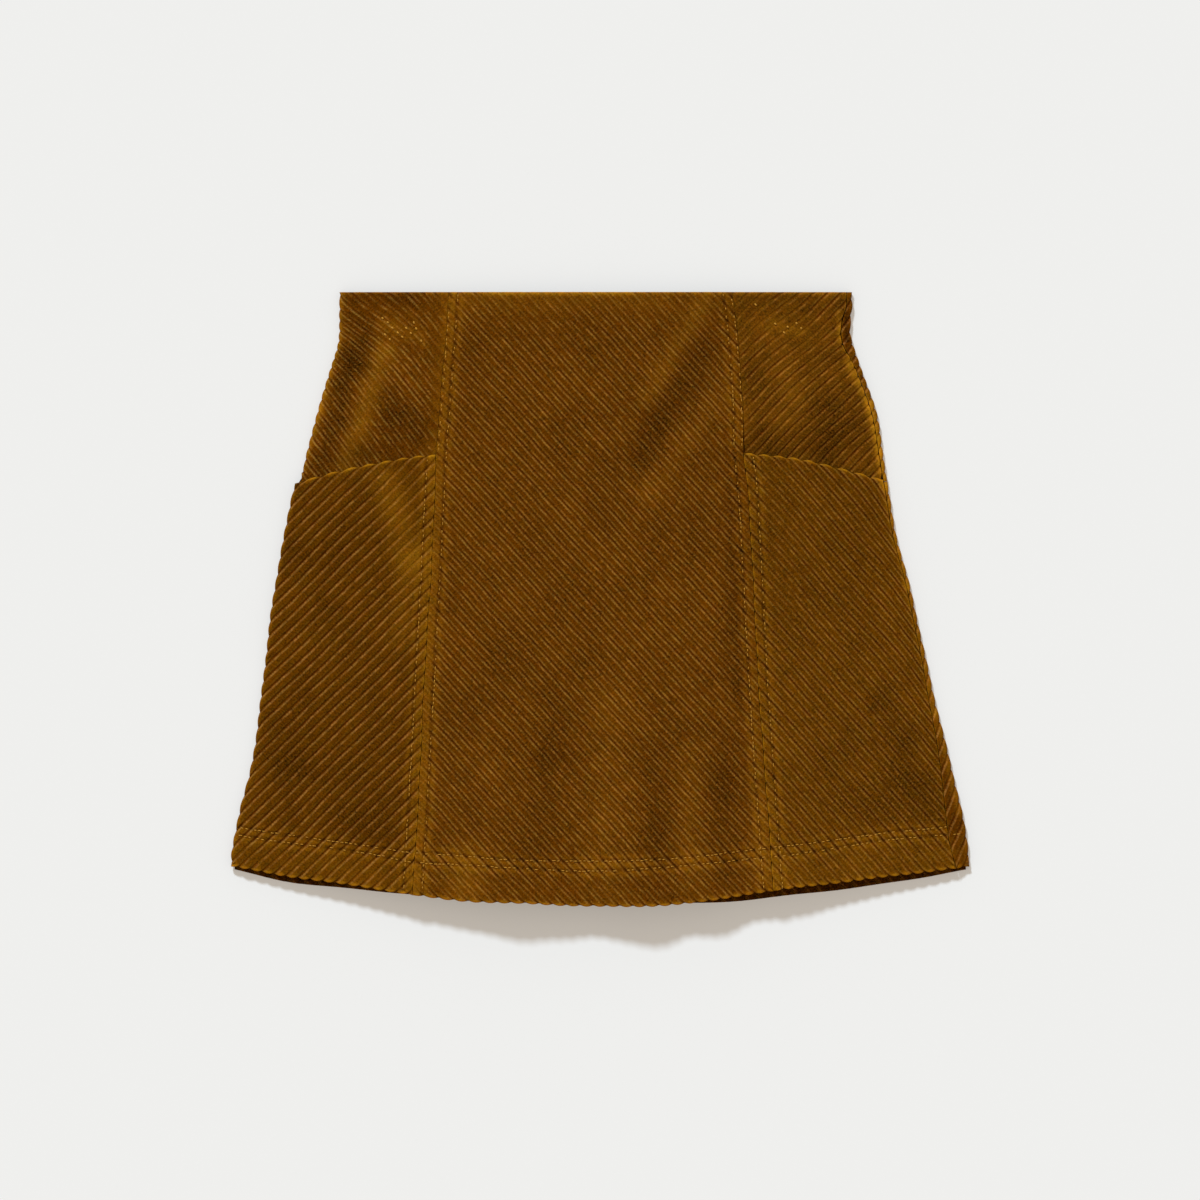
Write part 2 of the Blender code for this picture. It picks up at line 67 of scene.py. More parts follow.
# Place across, then the hem of the front and the hem of the back there.
HEM = [
    (-243.9, -176.4, -177.9), (-203.6, -183.6, -187.2), (-150.8, -190.9, -192.4), (-98, -198.3, -196.6),
    (-45.2, -201.5, -198.9), (1, -202.8, -199.6), (47.2, -201.3, -200.1), (73.6, -198.6, -200.4),
    (100, -194.6, -198.6), (152.8, -187.6, -192.3), (205.6, -181.2, -184.8), (243.9, -176.6, -178.2)]
WAIST = 203.0

# How an edge turns over: its radius across, its half thickness (none where it goes down to the
# table), where the inside of the cloth starts, the turn in degrees at each row of points, how
# far the pile opens there between the ends of two wales, and how much painted highlight the
# wales' ends get.
TURNS = {
    "side": (3.0, None, 1.9, (0, 22, 45, 66, 85, 105, 130, 155), 0.9, 0.5),
    "hem": (2.0, 1.15, 0.9, (0, 24, 46, 68, 90, 122, 155), 1.3, 2.2),
    "fold": (1.7, 1.15, 0.9, (0, 30, 58, 85, 120, 155), 1.8, 1.3),
    "waist": (0.9, 0.8, 0.0, (0, 30, 60, 90), 0.4, 0.9),
    "join": (0.5, 0.25, 0.0, (0, 45, 90), 0.3, 0.6),
    "cap": (0.9, 0.4, 0.0, (0, 30, 60, 90), 0.8, 1.3),
    "seam": (0.25, 0.35, 0.0, (0, 45, 90), 1.3, 0.3)}
SIDE_FLOOR = 0.35   # the folded side edges stay this far over the table


def smooth_line(rows, column):
    """A smooth curve through one column of a table, read at its first column's value."""
    rows = sorted(rows)
    places = np.array([row[0] for row in rows])
    values = np.array([row[column] for row in rows])
    spans = np.diff(places)
    slopes = np.diff(values) / spans
    leans = np.concatenate(([slopes[0]],
                            (values[2:] - values[:-2]) / (places[2:] - places[:-2]),
                            [slopes[-1]]))

    def read(at):
        row = np.clip(np.searchsorted(places, at, side="right") - 1, 0, len(spans) - 1)
        share = np.clip((at - places[row]) / spans[row], 0.0, 1.0)
        bend = (leans[row] - slopes[row]) * share * (1.0 - share) ** 2
        bend = bend + (slopes[row] - leans[row + 1]) * share ** 2 * (1.0 - share)
        return values[row] + spans[row] * (slopes[row] * share + bend)
    return read


def ease(value):
    """0 below 0, 1 above 1 and a soft step between."""
    value = np.clip(value, 0.0, 1.0)
    return value * value * (3.0 - 2.0 * value)


def upright_edge(line, start, end, kind, shift=0.0, spacing=2.0):
    """Outline points up or down an edge that is read by height."""
    heights = np.linspace(start, end, max(2, round(abs(end - start) / spacing)))
    return [(line(y) + shift, y, kind) for y in heights]


def level_edge(line, start, end, kind, spacing=2.0):
    """Outline points along an edge that is read by its place across."""
    places = np.linspace(start, end, max(2, round(abs(end - start) / spacing)))
    return [(x, line(x), kind) for x in places]


def joined(*runs):
    """Runs of outline points as one; a run's last point gives way to the next run's first."""
    return [point for run in runs for point in run[:-1]]


def wale_shape(phase):
    """Share of a wale's height at a place across it, from valley 0 to the next valley 1."""
    side = np.clip(np.minimum(phase, 1.0 - phase) / RIM, 0.0, 1.0)
    round_side = np.sqrt(1.0 - (1.0 - side) ** 2)
    return (1.0 - CROWN_SHARE) * round_side + CROWN_SHARE * np.sin(math.pi * phase)


def end_shape(phase):
    """The same for the end of a wale, which is as round as a knob."""
    return np.sin(math.pi * phase) ** 0.8


def cross_outline(points, kinds, place, wale, across):
    """Both ends of one mesh line: place along it, kind of edge, inward normal, sine of angle."""
    after = np.roll(points, -1, axis=0)
    here, there = points @ across, after @ across
    hit = np.nonzero((here <= place) != (there <= place))[0]
    share = (place - here[hit]) / (there[hit] - here[hit])
    at = (points[hit] + share[:, None] * (after[hit] - points[hit])) @ wale
    ends = []
    for which in (int(at.argmin()), int(at.argmax())):
        edge = after[hit[which]] - points[hit[which]]
        edge = edge / np.hypot(*edge)
        sine = max(abs(wale[0] * edge[1] - wale[1] * edge[0]), LEAST_SINE)
        ends.append((float(at[which]), kinds[hit[which]], (-edge[1], edge[0]), sine))
    return ends


def mesh_lines(points, kinds, across, phases):
    """Places of the mesh lines across the wales; true where the inside has a line as well."""
    places = points @ across
    steps = np.roll(points, -1, axis=0) - points
    ways = np.arctan2(steps[:, 1], steps[:, 0])
    turn = []
    for index, place in enumerate(places):
        bend = abs(math.remainder(ways[index] - ways[index - 1], 2.0 * math.pi))
        if kinds[index] != kinds[index - 1] or bend > CORNER_TURN:
            turn += [place - CORNER_INSET, place + CORNER_INSET]
    lowest, highest = places.min(), places.max()
    turn += [lowest + CORNER_INSET, highest - CORNER_INSET]
    lines = [(place, True) for place in turn if lowest < place < highest]
    for period in range(math.floor(lowest / PITCH), math.ceil(highest / PITCH)):
        for phase in phases:
            place = (period + phase) * PITCH
            clear = min(abs(place - near) for near in turn) > TURN_ROOM
            if lowest < place < highest and clear:
                lines.append((place, phase == 0.0))
    return sorted(lines)


UNTURNED = (0.0,) * 7   # shift, turn, splay, half thickness and painted end highlight away from the edges


def rounded_end(end, sign, shrink, wale):
    """Rows of points where the cloth turns over at one end of a line."""
    at, kind, normal, sine = end
    radius, half, inner, turns, splay, painted_end_highlight = TURNS[kind]
    radius = radius * shrink
    rows = []
    for degrees in turns:
        turned = math.radians(degrees)
        flat = radius * (1.0 - turned)
        on_top = max(flat, 0.0)
        shift = radius * (1.0 - math.sin(turned)) - on_top
        slide = sign * (on_top - flat) / sine
        rows.append((at + sign * flat / sine, shift * normal[0] + slide * wale[0],
                     shift * normal[1] + slide * wale[1], turned, splay * normal[0],
                     splay * normal[1], half if half else -1.0, painted_end_highlight))
    return rows


def rows_of_line(ends, step, extra, wale):
    """All rows of points on one outer mesh line, from its first end to its last."""
    (start, end) = ends
    need = sum(TURNS[kind][0] / sine for _, kind, _, sine in ends)
    shrink = min(1.0, 0.9 * (end[0] - start[0]) / need)
    first = rounded_end(start, 1.0, shrink, wale)[::-1]
    last = rounded_end(end, -1.0, shrink, wale)
    low, high = first[-1][0], last[0][0]
    inner = [t for t in extra if low + 0.25 < t < high - 0.25]
    count = math.ceil((low + 0.3 * step) / step)
    while count * step < high - 0.3 * step:
        if all(abs(count * step - t) > 0.7 for t in inner):
            inner.append(count * step)
        count += 1
    middle = [(t, *UNTURNED) for t in sorted(inner)]
    return first, middle, last


ABOUT_A_ROW = (-2.0, -1.0, 0.0, 1.0, 2.0)   # points of the mesh about a row of sewing
LEAST_LEAN = 0.2   # a row that runs nearer along the wales counts as leaning this much


def sewn_places(marks, starts, ends, lines, wale, across):
    """Where each line crosses the rows of sewing, with points close together about them."""
    found = [[] for _ in lines]
    place = np.array([line[0] for line in lines])
    for distance in marks:
        at = (starts + ends) / 2.0
        lean = np.ones_like(at)
        for _ in range(5):
            x, y = at * wale[0] + place * across[0], at * wale[1] + place * across[1]
            value = distance(x, y)
            lean = distance(x + wale[0], y + wale[1]) - value
            lean = np.where(np.abs(lean) < LEAST_LEAN, LEAST_LEAN, lean)
            at = np.clip(at - value / lean, starts - 60.0, ends + 60.0)
        for index in range(len(lines)):
            found[index] += [float(at[index] + offset / abs(lean[index]))
                             for offset in ABOUT_A_ROW]
    return [sorted(places) for places in found]


def stitch_rows(faces, row_a, row_b):
    """Triangles between two rows of (key, vertex), walking along both by their keys."""
    a, b, last_a, last_b = 0, 0, len(row_a) - 1, len(row_b) - 1
    while a < last_a or b < last_b:
        if b == last_b or (a < last_a and row_a[a + 1][0] <= row_b[b + 1][0]):
            face = (row_a[a][1], row_a[a + 1][1], row_b[b][1])
            a += 1
        else:
            face = (row_a[a][1], row_b[b + 1][1], row_b[b][1])
            b += 1
        if face[0] != face[1] and face[1] != face[2] and face[0] != face[2]:
            faces.append(face)


def wobble(x, y):
    """How far the cloth lies off its cut, so that no wale runs quite straight."""
    aside = 0.45 * np.sin(x / 19.0 + 1.3) * np.sin(y / 27.0 + 0.4) + 0.2 * np.sin(y / 8.5)
    along = 0.45 * np.sin(y / 21.0 + 2.1) * np.sin(x / 24.0) + 0.2 * np.sin(x / 9.5 + 1.0)
    inside = ease((WAIST - 3.0 - y) / 30.0)
    return aside * inside, along * inside


# Painted light and shade on folds, edges and recesses: both ends, width and strength.
PAINTED_LIGHT_AND_SHADE = [
    (69, 198, 33, 132, 8, 0.28), (69, 165, 29, 92, 11, -0.3), (82, 135, 33, 69, 9, 0.14),
    (-142, 165, -168.6, 89, 8, 0.4), (-158.7, 168, -185, 89, 7, -0.3), (-128, 125, -136, 98, 10, -0.2),
    (-142, 79, -126, 26, 11, 0.35), (-126, 26, -132, -27, 9, 0.2), (-110, 95, -120, -195, 6, 0.15),
    (99.5, 95, 114, -195, 5, -0.04), (151, 112, 151, 98, 9, -0.3), (128, 140, 128, 120, 9, 0.12),
    (-205, -112, -145, -152, 14, -0.18), (184, -66, 211, -126, 14, -0.18),
    (-90, -172, -90, -192, 12, 0.25), (-36.6, -99, -36.6, -178, 12, -0.14), (3, -66, 3, -192, 13, 0.12),
    (36, -119, 36, -172, 9, -0.14), (59, -99, 59, -185, 9, 0.14), (82, -112, 82, -165, 9, -0.16),
    (105, -120, 108, -180, 9, 0.14), (88, 97, 90, -66, 6, -0.16), (-240, -166, -120, -184, 9, 0.14),
    (120, -180, 236, -166, 9, 0.14), (-100, 200, -107.5, 100, 6, 0.14),
    (160, -110, 200, -150, 26, -0.06), (-40, -80, 70, -120, 30, -0.04),
    (163.6, 171.5, 163.8, 172, 2.2, -0.4), (157.2, 191, 157.6, 172, 1.5, 0.45),
    (161.6, 191, 163.4, 171, 1.8, -0.45), (114, 181.5, 132, 176, 3.5, 0.35),
    (-143, 183, -126, 176, 4.5, 0.25), (-122, 182, -117, 168, 2.5, 0.25),
    (-100, 203.5, 160, 203.5, 2.2, 0.3), (-75, 203, 20, 203, 2.4, 0.5), (-95, 197, 40, 198, 7, 0.16),
    (-160, 197, -120, 200, 4.5, -0.3), (-171.6, 202, -172, 174, 2.2, 0.3),
    (-173, 170, -186, 125, 2.4, 0.4), (-186, 125, -194, 96, 2.4, 0.35), (163, 158, 177, 128, 2.6, 0.8),
    (177, 128, 184.3, 96, 2.8, 1.1), (184.3, 96, 188, 75, 2.6, 0.9), (188, 75, 203, 8, 2.4, 0.65),
    (203, 8, 221, -74, 2.4, 0.45), (221, -74, 236, -140, 2.4, 0.35)]

# Places where handling has laid the pile flat, so that its ribs hardly show, in the same way.
WORN = [
    (-100, 203, -107.9, 97, 7, 0.9), (-105.4, 97, -121.5, -195, 3.5, 0.8), (86.8, 203, 94.6, 97, 5, 0.3),
    (93.6, 97, 113.2, -195, 4, 0.4), (-90, 200, 80, 200, 9, 0.4), (-60, 190, -20, 184, 14, 0.4),
    (20, 192, 60, 186, 12, 0.3), (-160, 196, -115, 190, 9, 0.5), (-140, 180, -120, 168, 9, 0.4),
    (100, 190, 135, 175, 16, 0.6), (-150, 140, -160, 100, 7, 0.4), (-130, 85, -125, 20, 14, 0.5),
    (115, 85, 120, 0, 14, 0.35), (-240, -170, -125, -186, 7, 0.3), (-120, -192, 110, -196, 7, 0.3),
    (115, -186, 240, -172, 7, 0.3)]


def strokes(table, x, y):
    """What the soft straight strokes of a table add up to at this place."""
    total = np.zeros_like(x)
    for x0, y0, x1, y1, width, strength in table:
        run_x, run_y = x1 - x0, y1 - y0
        share = ((x - x0) * run_x + (y - y0) * run_y) / (run_x ** 2 + run_y ** 2)
        share = np.clip(share, 0.0, 1.0)
        away = np.hypot(x - x0 - share * run_x, y - y0 - share * run_y)
        total += strength * np.exp(-(away / width) ** 2)
    return total


def zero(x, y):
    return np.zeros_like(x)


def one(x, y):
    return np.ones_like(x)


def waist_line(x):
    return np.full_like(x, WAIST)


side_left, side_right = smooth_line(SIDES, 1), smooth_line(SIDES, 2)
hem_front, hem_back = smooth_line(HEM, 1), smooth_line(HEM, 2)

OUTSIDE, INSIDE, HALFWAY = 0.0, 1.0, 2.0   # which side of the shell a point is on
SAG_ROUNDS = 14     # steps towards the place where sagged cloth lies
WORN_DOWN = 0.4     # share of a wale's height that is lost where the pile is worn
SEWN_PAINTED_SHADE, WORN_LIGHT = 0.45, 0.35   # painted shade in the valleys where the sewing dents the cloth, and lighter valleys in worn pile


def add_object(name, data):
    """A new object of the scene."""
    made = bpy.data.objects.new(name, data)
    bpy.context.scene.collection.objects.link(made)
    return made


def closed_piece(name, corners, faces):
    """A smooth piece from the corners and faces of a closed shell, its normals outward."""
    mesh = bpy.data.meshes.new(name)
    mesh.from_pydata(corners, [], faces)
    shell = bmesh.new()
    shell.from_mesh(mesh)
    bmesh.ops.recalc_face_normals(shell, faces=shell.faces)
    shell.to_mesh(mesh)
    shell.free()
    mesh.polygons.foreach_set("use_smooth", np.ones(len(mesh.polygons), bool))
    return add_object(name, mesh)


def wale_cloth(name, outline, angle, inside, top, relief, marks=(), step=3.4,
               hem_line=hem_front, painted_lightness=0.0, pull=zero, painted_sheen=zero, sag=zero,
               phases=(0.0, 0.06, 0.13, 0.22, 0.35, 0.5, 0.65, 0.78, 0.87, 0.94)):
    """A closed shell of corduroy whose mesh follows its wales, with its UV map in wales.

    inside and top give the height of the cloth's inner side and of its wales' tops, relief
    the share of their height that the wales have there. marks are distances from rows of
    sewing, where the mesh is closer. pull is how much sewing draws the cloth in, the painted
    sheen how much painted highlight the pile gets beside it, sag how far the cloth lies above
    the place where straight wales would have it. The painted lightness makes the whole outer
    side lighter or darker, as painted light and shade.
    """
    def laid(x, y):
        """Where a place of the straight cut lies once the cloth has sagged."""
        height = y
        for _ in range(SAG_ROUNDS):
            height = y + sag(x, height)
        return x, height

    turn = math.radians(angle)
    wale = np.array((math.cos(turn), math.sin(turn)))
    across = np.array((wale[1], -wale[0]))
    edge_x, edge_y = np.array([(x, y) for x, y, _ in outline]).T
    points = np.stack((edge_x, edge_y - sag(edge_x, edge_y)), axis=1)
    kinds = [kind for _, _, kind in outline]
    lines = mesh_lines(points, kinds, across, phases)
    crossed = [cross_outline(points, kinds, place, wale, across) for place, _ in lines]
    starts = np.array([ends[0][0] for ends in crossed])
    finishes = np.array([ends[1][0] for ends in crossed])
    marks = [lambda x, y, far=far: far(*laid(x, y)) for far in marks]
    extra = sewn_places(marks, starts, finishes, lines, wale, across)

    data, tangent, outer, inner = [], [], [], []

    def narrow(corner):
        """Outside and inside narrow to one point at the first and the last corner."""
        along, place = float(corner @ wale), float(corner @ across)
        for rows, layer in ((outer, HALFWAY), (inner, INSIDE)):
            rows.append((place, [(along, len(data))]))
            tangent.append(len(data))
            data.append((along, place, *UNTURNED, layer))

    narrow(points[(points @ across).argmin()])
    for (place, has_inner), ends, close in zip(lines, crossed, extra):
        first, middle, last = rows_of_line(ends, step, close, wale)
        row, base = first + middle + last, len(data)
        outer.append((place, [(point[0], base + index) for index, point in enumerate(row)]))
        data += [(point[0], place, *point[1:], OUTSIDE) for point in row]
        edges = base + len(first) - 1, base + len(first) + len(middle)
        tangent += [min(max(base + index, edges[0]), edges[1]) for index in range(len(row))]
        if has_inner:
            inset = [TURNS[end[1]][2] / end[3] for end in ends]
            room = ends[1][0] - ends[0][0]
            shrink = min(1.0, 0.45 * room / max(sum(inset), 0.01))
            low = ends[0][0] + shrink * inset[0]
            high = ends[1][0] - shrink * inset[1]
            count = max(1, round((high - low) / (4.0 * step)))
            row = [low + (high - low) * index / count for index in range(count + 1)]
            base = len(data)
            inner.append((place, [(along, base + index) for index, along in enumerate(row)]))
            tangent += range(base, base + len(row))
            data += [(along, place, *UNTURNED, INSIDE) for along in row]
    narrow(points[(points @ across).argmax()])

    faces = []
    for (_, row_a), (_, row_b) in zip(outer, outer[1:]):
        stitch_rows(faces, row_a, row_b)
    outer_count = len(faces)
    for (_, row_a), (_, row_b) in zip(inner, inner[1:]):
        stitch_rows(faces, row_a, row_b)
    inner_count = len(faces)
    for end in (0, -1):
        stitch_rows(faces, [(place, row[end][1]) for place, row in outer],
                    [(place, row[end][1]) for place, row in inner])

    (key, place, shift_x, shift_y, turned, splay_x, splay_y, half, painted_end_highlight,
     layer) = np.array(data).T
    x, y = laid(key * wale[0] + place * across[0] + shift_x,
                key * wale[1] + place * across[1] + shift_y)
    worn = strokes(WORN, x, y)
    share = relief(x, y) * (1.0 - WORN_DOWN * np.minimum(worn, 1.0))
    knob = end_shape((place / PITCH) % 1.0)
    pulled = pull(x, y)
    rounding = wale_shape((place / PITCH) % 1.0) * (1.0 - pulled) + knob * pulled
    depth = RELIEF * share * (1.0 - rounding) * (layer == OUTSIDE)
    notch = share * (1.0 - knob) * (layer == OUTSIDE) * np.sin(turned)
    low, high = inside(x, y), top(x, y)
    high_edge = high[tangent]
    half = np.where(half < 0.0, (high_edge - SIDE_FLOOR) / 2.0, half)
    z = high_edge - half * (1.0 - np.cos(turned)) - depth * np.cos(turned)
    z = np.where(layer == INSIDE, low, np.where(layer == HALFWAY, (low + high) / 2.0, z))
    x, y = x + splay_x * notch, y + splay_y * notch
    x = np.clip(x, side_left(y), side_right(y))
    y = np.clip(y, np.minimum(hem_line(x), WAIST - 1.0), WAIST)
    # Painted highlight on the wales beside the rows of sewing, and painted shade in the valleys where
    # the sewing dents the cloth.
    sewn = painted_sheen(x, y) * knob - SEWN_PAINTED_SHADE * pulled * (1.0 - knob)
    flattened = WORN_LIGHT * np.minimum(worn, 1.0) * (1.0 - knob) * (1.0 - pulled)
    # Painted light and shade of folds, edges and recesses, the piece's painted lightness, the sewing's
    # painted highlight and shade, and the lighter valleys of worn pile.
    painted_light_and_wear = strokes(PAINTED_LIGHT_AND_SHADE, x, y) + (painted_lightness + sewn + flattened) * (layer != INSIDE)
    # Painted highlight on the rounded ends of the wales where an edge turns over.
    painted_light_and_wear = painted_light_and_wear + painted_end_highlight * (0.2 + 0.8 * np.sin(turned)) * knob ** 2
    move_x, move_y = wobble(x, y)
    corners = np.stack((x + move_x, y + move_y, z), axis=1) * MM

    piece = closed_piece(name, corners.tolist(), faces)
    mesh = piece.data
    uv = mesh.uv_layers.new(name="wales")
    of_corner = np.zeros(len(mesh.loops), np.int32)
    mesh.loops.foreach_get("vertex_index", of_corner)
    wale_uv = np.stack((key / PITCH, place / PITCH), axis=1)
    uv.data.foreach_set("uv", wale_uv[of_corner].astype(np.float32).ravel())
    # The painted light and shade, with the worn valleys, go to the material as one attribute.
    for label, values in (("painted_light_and_worn_valleys", painted_light_and_wear), ("worn", worn)):
        mesh.attributes.new(label, "FLOAT", "POINT")
        mesh.attributes[label].data.foreach_set("value", values.astype(np.float32))
    slots = np.zeros(len(faces), np.int32)
    slots[outer_count:inner_count] = 1
    mesh.polygons.foreach_set("material_index", slots)
    mesh.update()
    return piece


def dye(code):
    """An sRGB colour like "5a3305" as linear light."""
    parts = [int(code[index:index + 2], 16) / 255.0 for index in (0, 2, 4)]
    linear = [p / 12.92 if p <= 0.04045 else ((p + 0.055) / 1.055) ** 2.4 for p in parts]
    return (*linear, 1.0)


def set_inputs(tree, node, values, links):
    """Values and links of a node's inputs. A linked node stands for its first output."""
    for socket, value in values.items():
        node.inputs[socket].default_value = value
    for socket, source in links.items():
        tree.links.new(getattr(source, "outputs", [source])[0], node.inputs[socket])
    return node


def add_node(tree, kind, settings=None, values=None, links=None):
    """One node with its settings, its inputs' values and what is linked to its inputs."""
    node = tree.nodes.new("ShaderNode" + kind)
    for name, value in (settings or {}).items():
        setattr(node, name, value)
    return set_inputs(tree, node, values or {}, links or {})


def new_material(name):
    """An empty node material with its shader and output."""
    material = bpy.data.materials.new(name)
    material.use_nodes = True
    tree = material.node_tree
    return material, tree, tree.nodes["Principled BSDF"]


MULTIPLY, MULTIPLY_ADD = {"operation": "MULTIPLY"}, {"operation": "MULTIPLY_ADD"}


# Wide-wale cotton corduroy, cut pile, piece-dyed tobacco brown. The pile stands in rounded
# ribs: its ends drink the light on a rib's back. The golden shine on the ribs' edges, near and
# far, is a painted highlight, lighter on the edge that faces the lamp and darker on the one
# that faces away, and the bare ground between two ribs is painted darkest, partly its own tone
# and partly painted shade. Tufts along a rib make it grainy: they are about 0.5 mm apart and
# drawn 1 mm apart, so that they still show. The ribs wander a little, and larger hand marks
# vary the lightness and the tone.
def corduroy(name, near, far, ridge="572d00", ground="4f2400", marked=0.7, wear=0.7):
    material, tree, shader = new_material(name)
    wales = add_node(tree, "UVMap", {"uv_map": "wales"})
    place = add_node(tree, "TexCoord").outputs["Object"]
    across = add_node(tree, "SeparateXYZ", links={0: wales}).outputs[1]
    grain = add_node(tree, "VectorMath", MULTIPLY, {1: (6.0, 2.4, 1.0)}, {0: wales})
    lengths = add_node(tree, "VectorMath", MULTIPLY, {1: (0.9, 1.7, 1.0)}, {0: wales})
    tufts, streaks, sway, marks, tones, fuzz = [
        add_node(tree, "TexNoise", values={"Scale": scale, "Detail": detail},
                 links={"Vector": source})
        for scale, detail, source in (
            (1.0, 2.0, grain), (1.0, 2.0, lengths), (75.0, 1.0, place), (45.0, 3.0, place),
            (230.0, 2.0, place), (950.0, 1.0, place))]

    for share, source in ((0.14, sway), (0.1, tufts)):
        across = add_node(tree, "Math", MULTIPLY_ADD, {1: share}, {0: source, 2: across})
    centred = add_node(tree, "Math", {"operation": "SUBTRACT"}, {1: 0.12}, {0: across})
    phase = add_node(tree, "Math", {"operation": "FRACT"}, links={0: centred})
    ribs = add_node(tree, "ValToRGB", links={0: phase})
    ramp = ribs.color_ramp
    ramp.interpolation = "EASE"
    # Painted highlight on the near and far rims, and painted shade in the ground between ribs.
    stops = ((0.0, ground), (0.05, ground), (0.18, near), (0.23, near), (0.37, ridge),
             (0.64, ridge), (0.77, far), (0.82, far), (0.95, ground), (1.0, ground))
    while len(ramp.elements) < len(stops):
        ramp.elements.new(0.5)
    for element, (position, colour) in zip(ramp.elements, stops):
        element.position = position
        element.color = dye(colour)
    # The painted light and shade from the mesh lighten and darken the colour, and turn it golden where
    # it is lightest: a painted highlight.
    flat, painted_lightness = [add_node(tree, "Attribute", {"attribute_name": label}).outputs["Fac"]
                   for label in ("worn", "painted_light_and_worn_valleys")]
    thinned = add_node(tree, "Math", MULTIPLY_ADD, {1: 0.25}, {0: flat, 2: streaks})
    worn = add_node(tree, "MapRange", None, {1: 0.42, 2: 0.66, 3: 0.0, 4: wear}, {0: thinned})
    broken = add_node(tree, "Mix", {"data_type": "RGBA"}, {7: dye(ridge)}, {0: worn, 6: ribs})
    shining = add_node(tree, "MapRange", None, {1: 0.0, 2: 1.0, 3: 0.0, 4: 0.8}, {0: painted_lightness})
    lit = add_node(tree, "Mix", {"data_type": "RGBA"}, {7: dye("6e4808")},
                   {0: shining, 6: broken.outputs[2]})
    light = painted_lightness
    for share, source in ((1.1, tufts), (1.6, fuzz), (marked, marks)):
        light = add_node(tree, "Math", MULTIPLY_ADD, {1: share}, {0: source, 2: light})
    for operation, value in (("ADD", -0.38 - 0.5 * marked), ("MAXIMUM", 0.12)):
        light = add_node(tree, "Math", {"operation": operation}, {1: value}, {0: light})
    toned = add_node(tree, "VectorMath", MULTIPLY_ADD,
                     {1: (0.28, 0.28, 0.28), 2: (0.86, 0.86, 0.86)}, {0: tones.outputs[1]})
    dyed = add_node(tree, "VectorMath", MULTIPLY, links={0: lit.outputs[2], 1: toned})
    shaded = add_node(tree, "VectorMath", {"operation": "SCALE"},
                      links={0: dyed, "Scale": light})
    pile = add_node(tree, "Bump", values={"Strength": 0.7, "Distance": 0.0004},
                    links={"Height": tufts})
    sheen = {"Sheen Weight": 0.45, "Sheen Roughness": 0.35, "Sheen Tint": dye("cc8a08")}
    set_inputs(tree, shader, {"Roughness": 0.9, "Specular IOR Level": 0.01, **sheen},
               {"Base Color": shaded, "Normal": pile})
    return material


def plain_finish(name, code, kind, patterns, values, spread, bump, surface):
    """A material of one colour, made lighter and darker by a fine even pattern.

    The second share of spread is left of the colour where the pattern is lowest, and the
    first comes on top where it is highest. bump is how strongly and how deep it stands up.
    """
    material, tree, shader = new_material(name)
    place = add_node(tree, "TexCoord").outputs["Object"]
    pattern, *others = [
        add_node(tree, kind, settings, values, {"Vector": place}).outputs["Fac"]
        for settings in patterns]
    for other in others:
        pattern = add_node(tree, "Math", {"operation": "MAXIMUM"}, None, {0: pattern, 1: other})
    light = add_node(tree, "Math", MULTIPLY_ADD, {1: spread[0], 2: spread[1]}, {0: pattern})
    shaded = add_node(tree, "VectorMath", {"operation": "SCALE"}, {0: dye(code)[:3]},
                      {"Scale": light})
    set_inputs(tree, shader, surface, {"Base Color": shaded})
    if bump:
        raised = add_node(tree, "Bump", None, {"Strength": bump[0], "Distance": bump[1]},
                          {"Height": pattern})
        set_inputs(tree, shader, {}, {"Normal": raised})
    return material


DIAGONAL = [{"bands_direction": "DIAGONAL"}]

# The woven back of the corduroy: a plain cotton ground with no pile, matt, its threads about
# 0.5 mm apart and drawn 2 mm apart, so that they still show.
plain_back = plain_finish(
    "woven_back_of_corduroy", "4a2c08", "TexWave",
    [{"bands_direction": "X"}, {"bands_direction": "Y"}], {"Scale": 160.0, "Distortion": 0.6},
    (0.35, 0.75), (0.5, 0.0002), {"Roughness": 0.95, "Specular IOR Level": 0.1})


def declare(piece, cord, node, area):
    """The two sides of a piece of cloth, attached to the root, with the model's part hidden."""
    piece.data.materials.append(cord)
    piece.data.materials.append(plain_back)
    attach(piece, "root")
    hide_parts(node)


def back_top(x, y):
    return np.full_like(x, WALL)


def back_relief(x, y):
    """The back's wales show in the band that is turned up at its hem."""
    return BACK_RELIEF * (1.0 - ease((y - hem_back(x) - BACK_HEM_BAND) / 2.0))


back_left_x, back_right_x = SIDES[-1][1] + BACK_TUCK, SIDES[-1][2] - BACK_TUCK
back_outline = joined(
    level_edge(hem_back, back_left_x, back_right_x, "seam"),
    upright_edge(side_right, hem_back(back_right_x), WAIST, "seam", -BACK_TUCK),
    [(SIDES[0][2] - BACK_TUCK, WAIST, "seam"), (SIDES[0][1] + BACK_TUCK, WAIST, "seam")],
    upright_edge(side_left, WAIST, hem_back(back_left_x), "seam", BACK_TUCK))
# The back's whole outer side is painted darker: painted shade, since only its hem band shows, in the
# shadow of the front.
back_cloth = wale_cloth("back_cloth", back_outline, 133.0, zero, back_top, back_relief,
                        step=12.0, hem_line=hem_back, painted_lightness=-0.45,
                        phases=(0.0, 0.1, 0.25, 0.5, 0.75, 0.9))
# The back's rims are painted: the near one lighter, facing the lamp, the far one darker, in painted
# shade.
back_cord = corduroy("wide_wale_corduroy_back_panel", "805220", "5a3508")
for face in back_cloth.data.polygons:
    above_hem = face.center.y / MM - hem_back(face.center.x / MM)
    faces_table = face.normal.z < -0.5
    face.material_index = 0 if faces_table or above_hem < BACK_HEM_BAND else 1
declare(back_cloth, back_cord, "back_panel", 0.161)

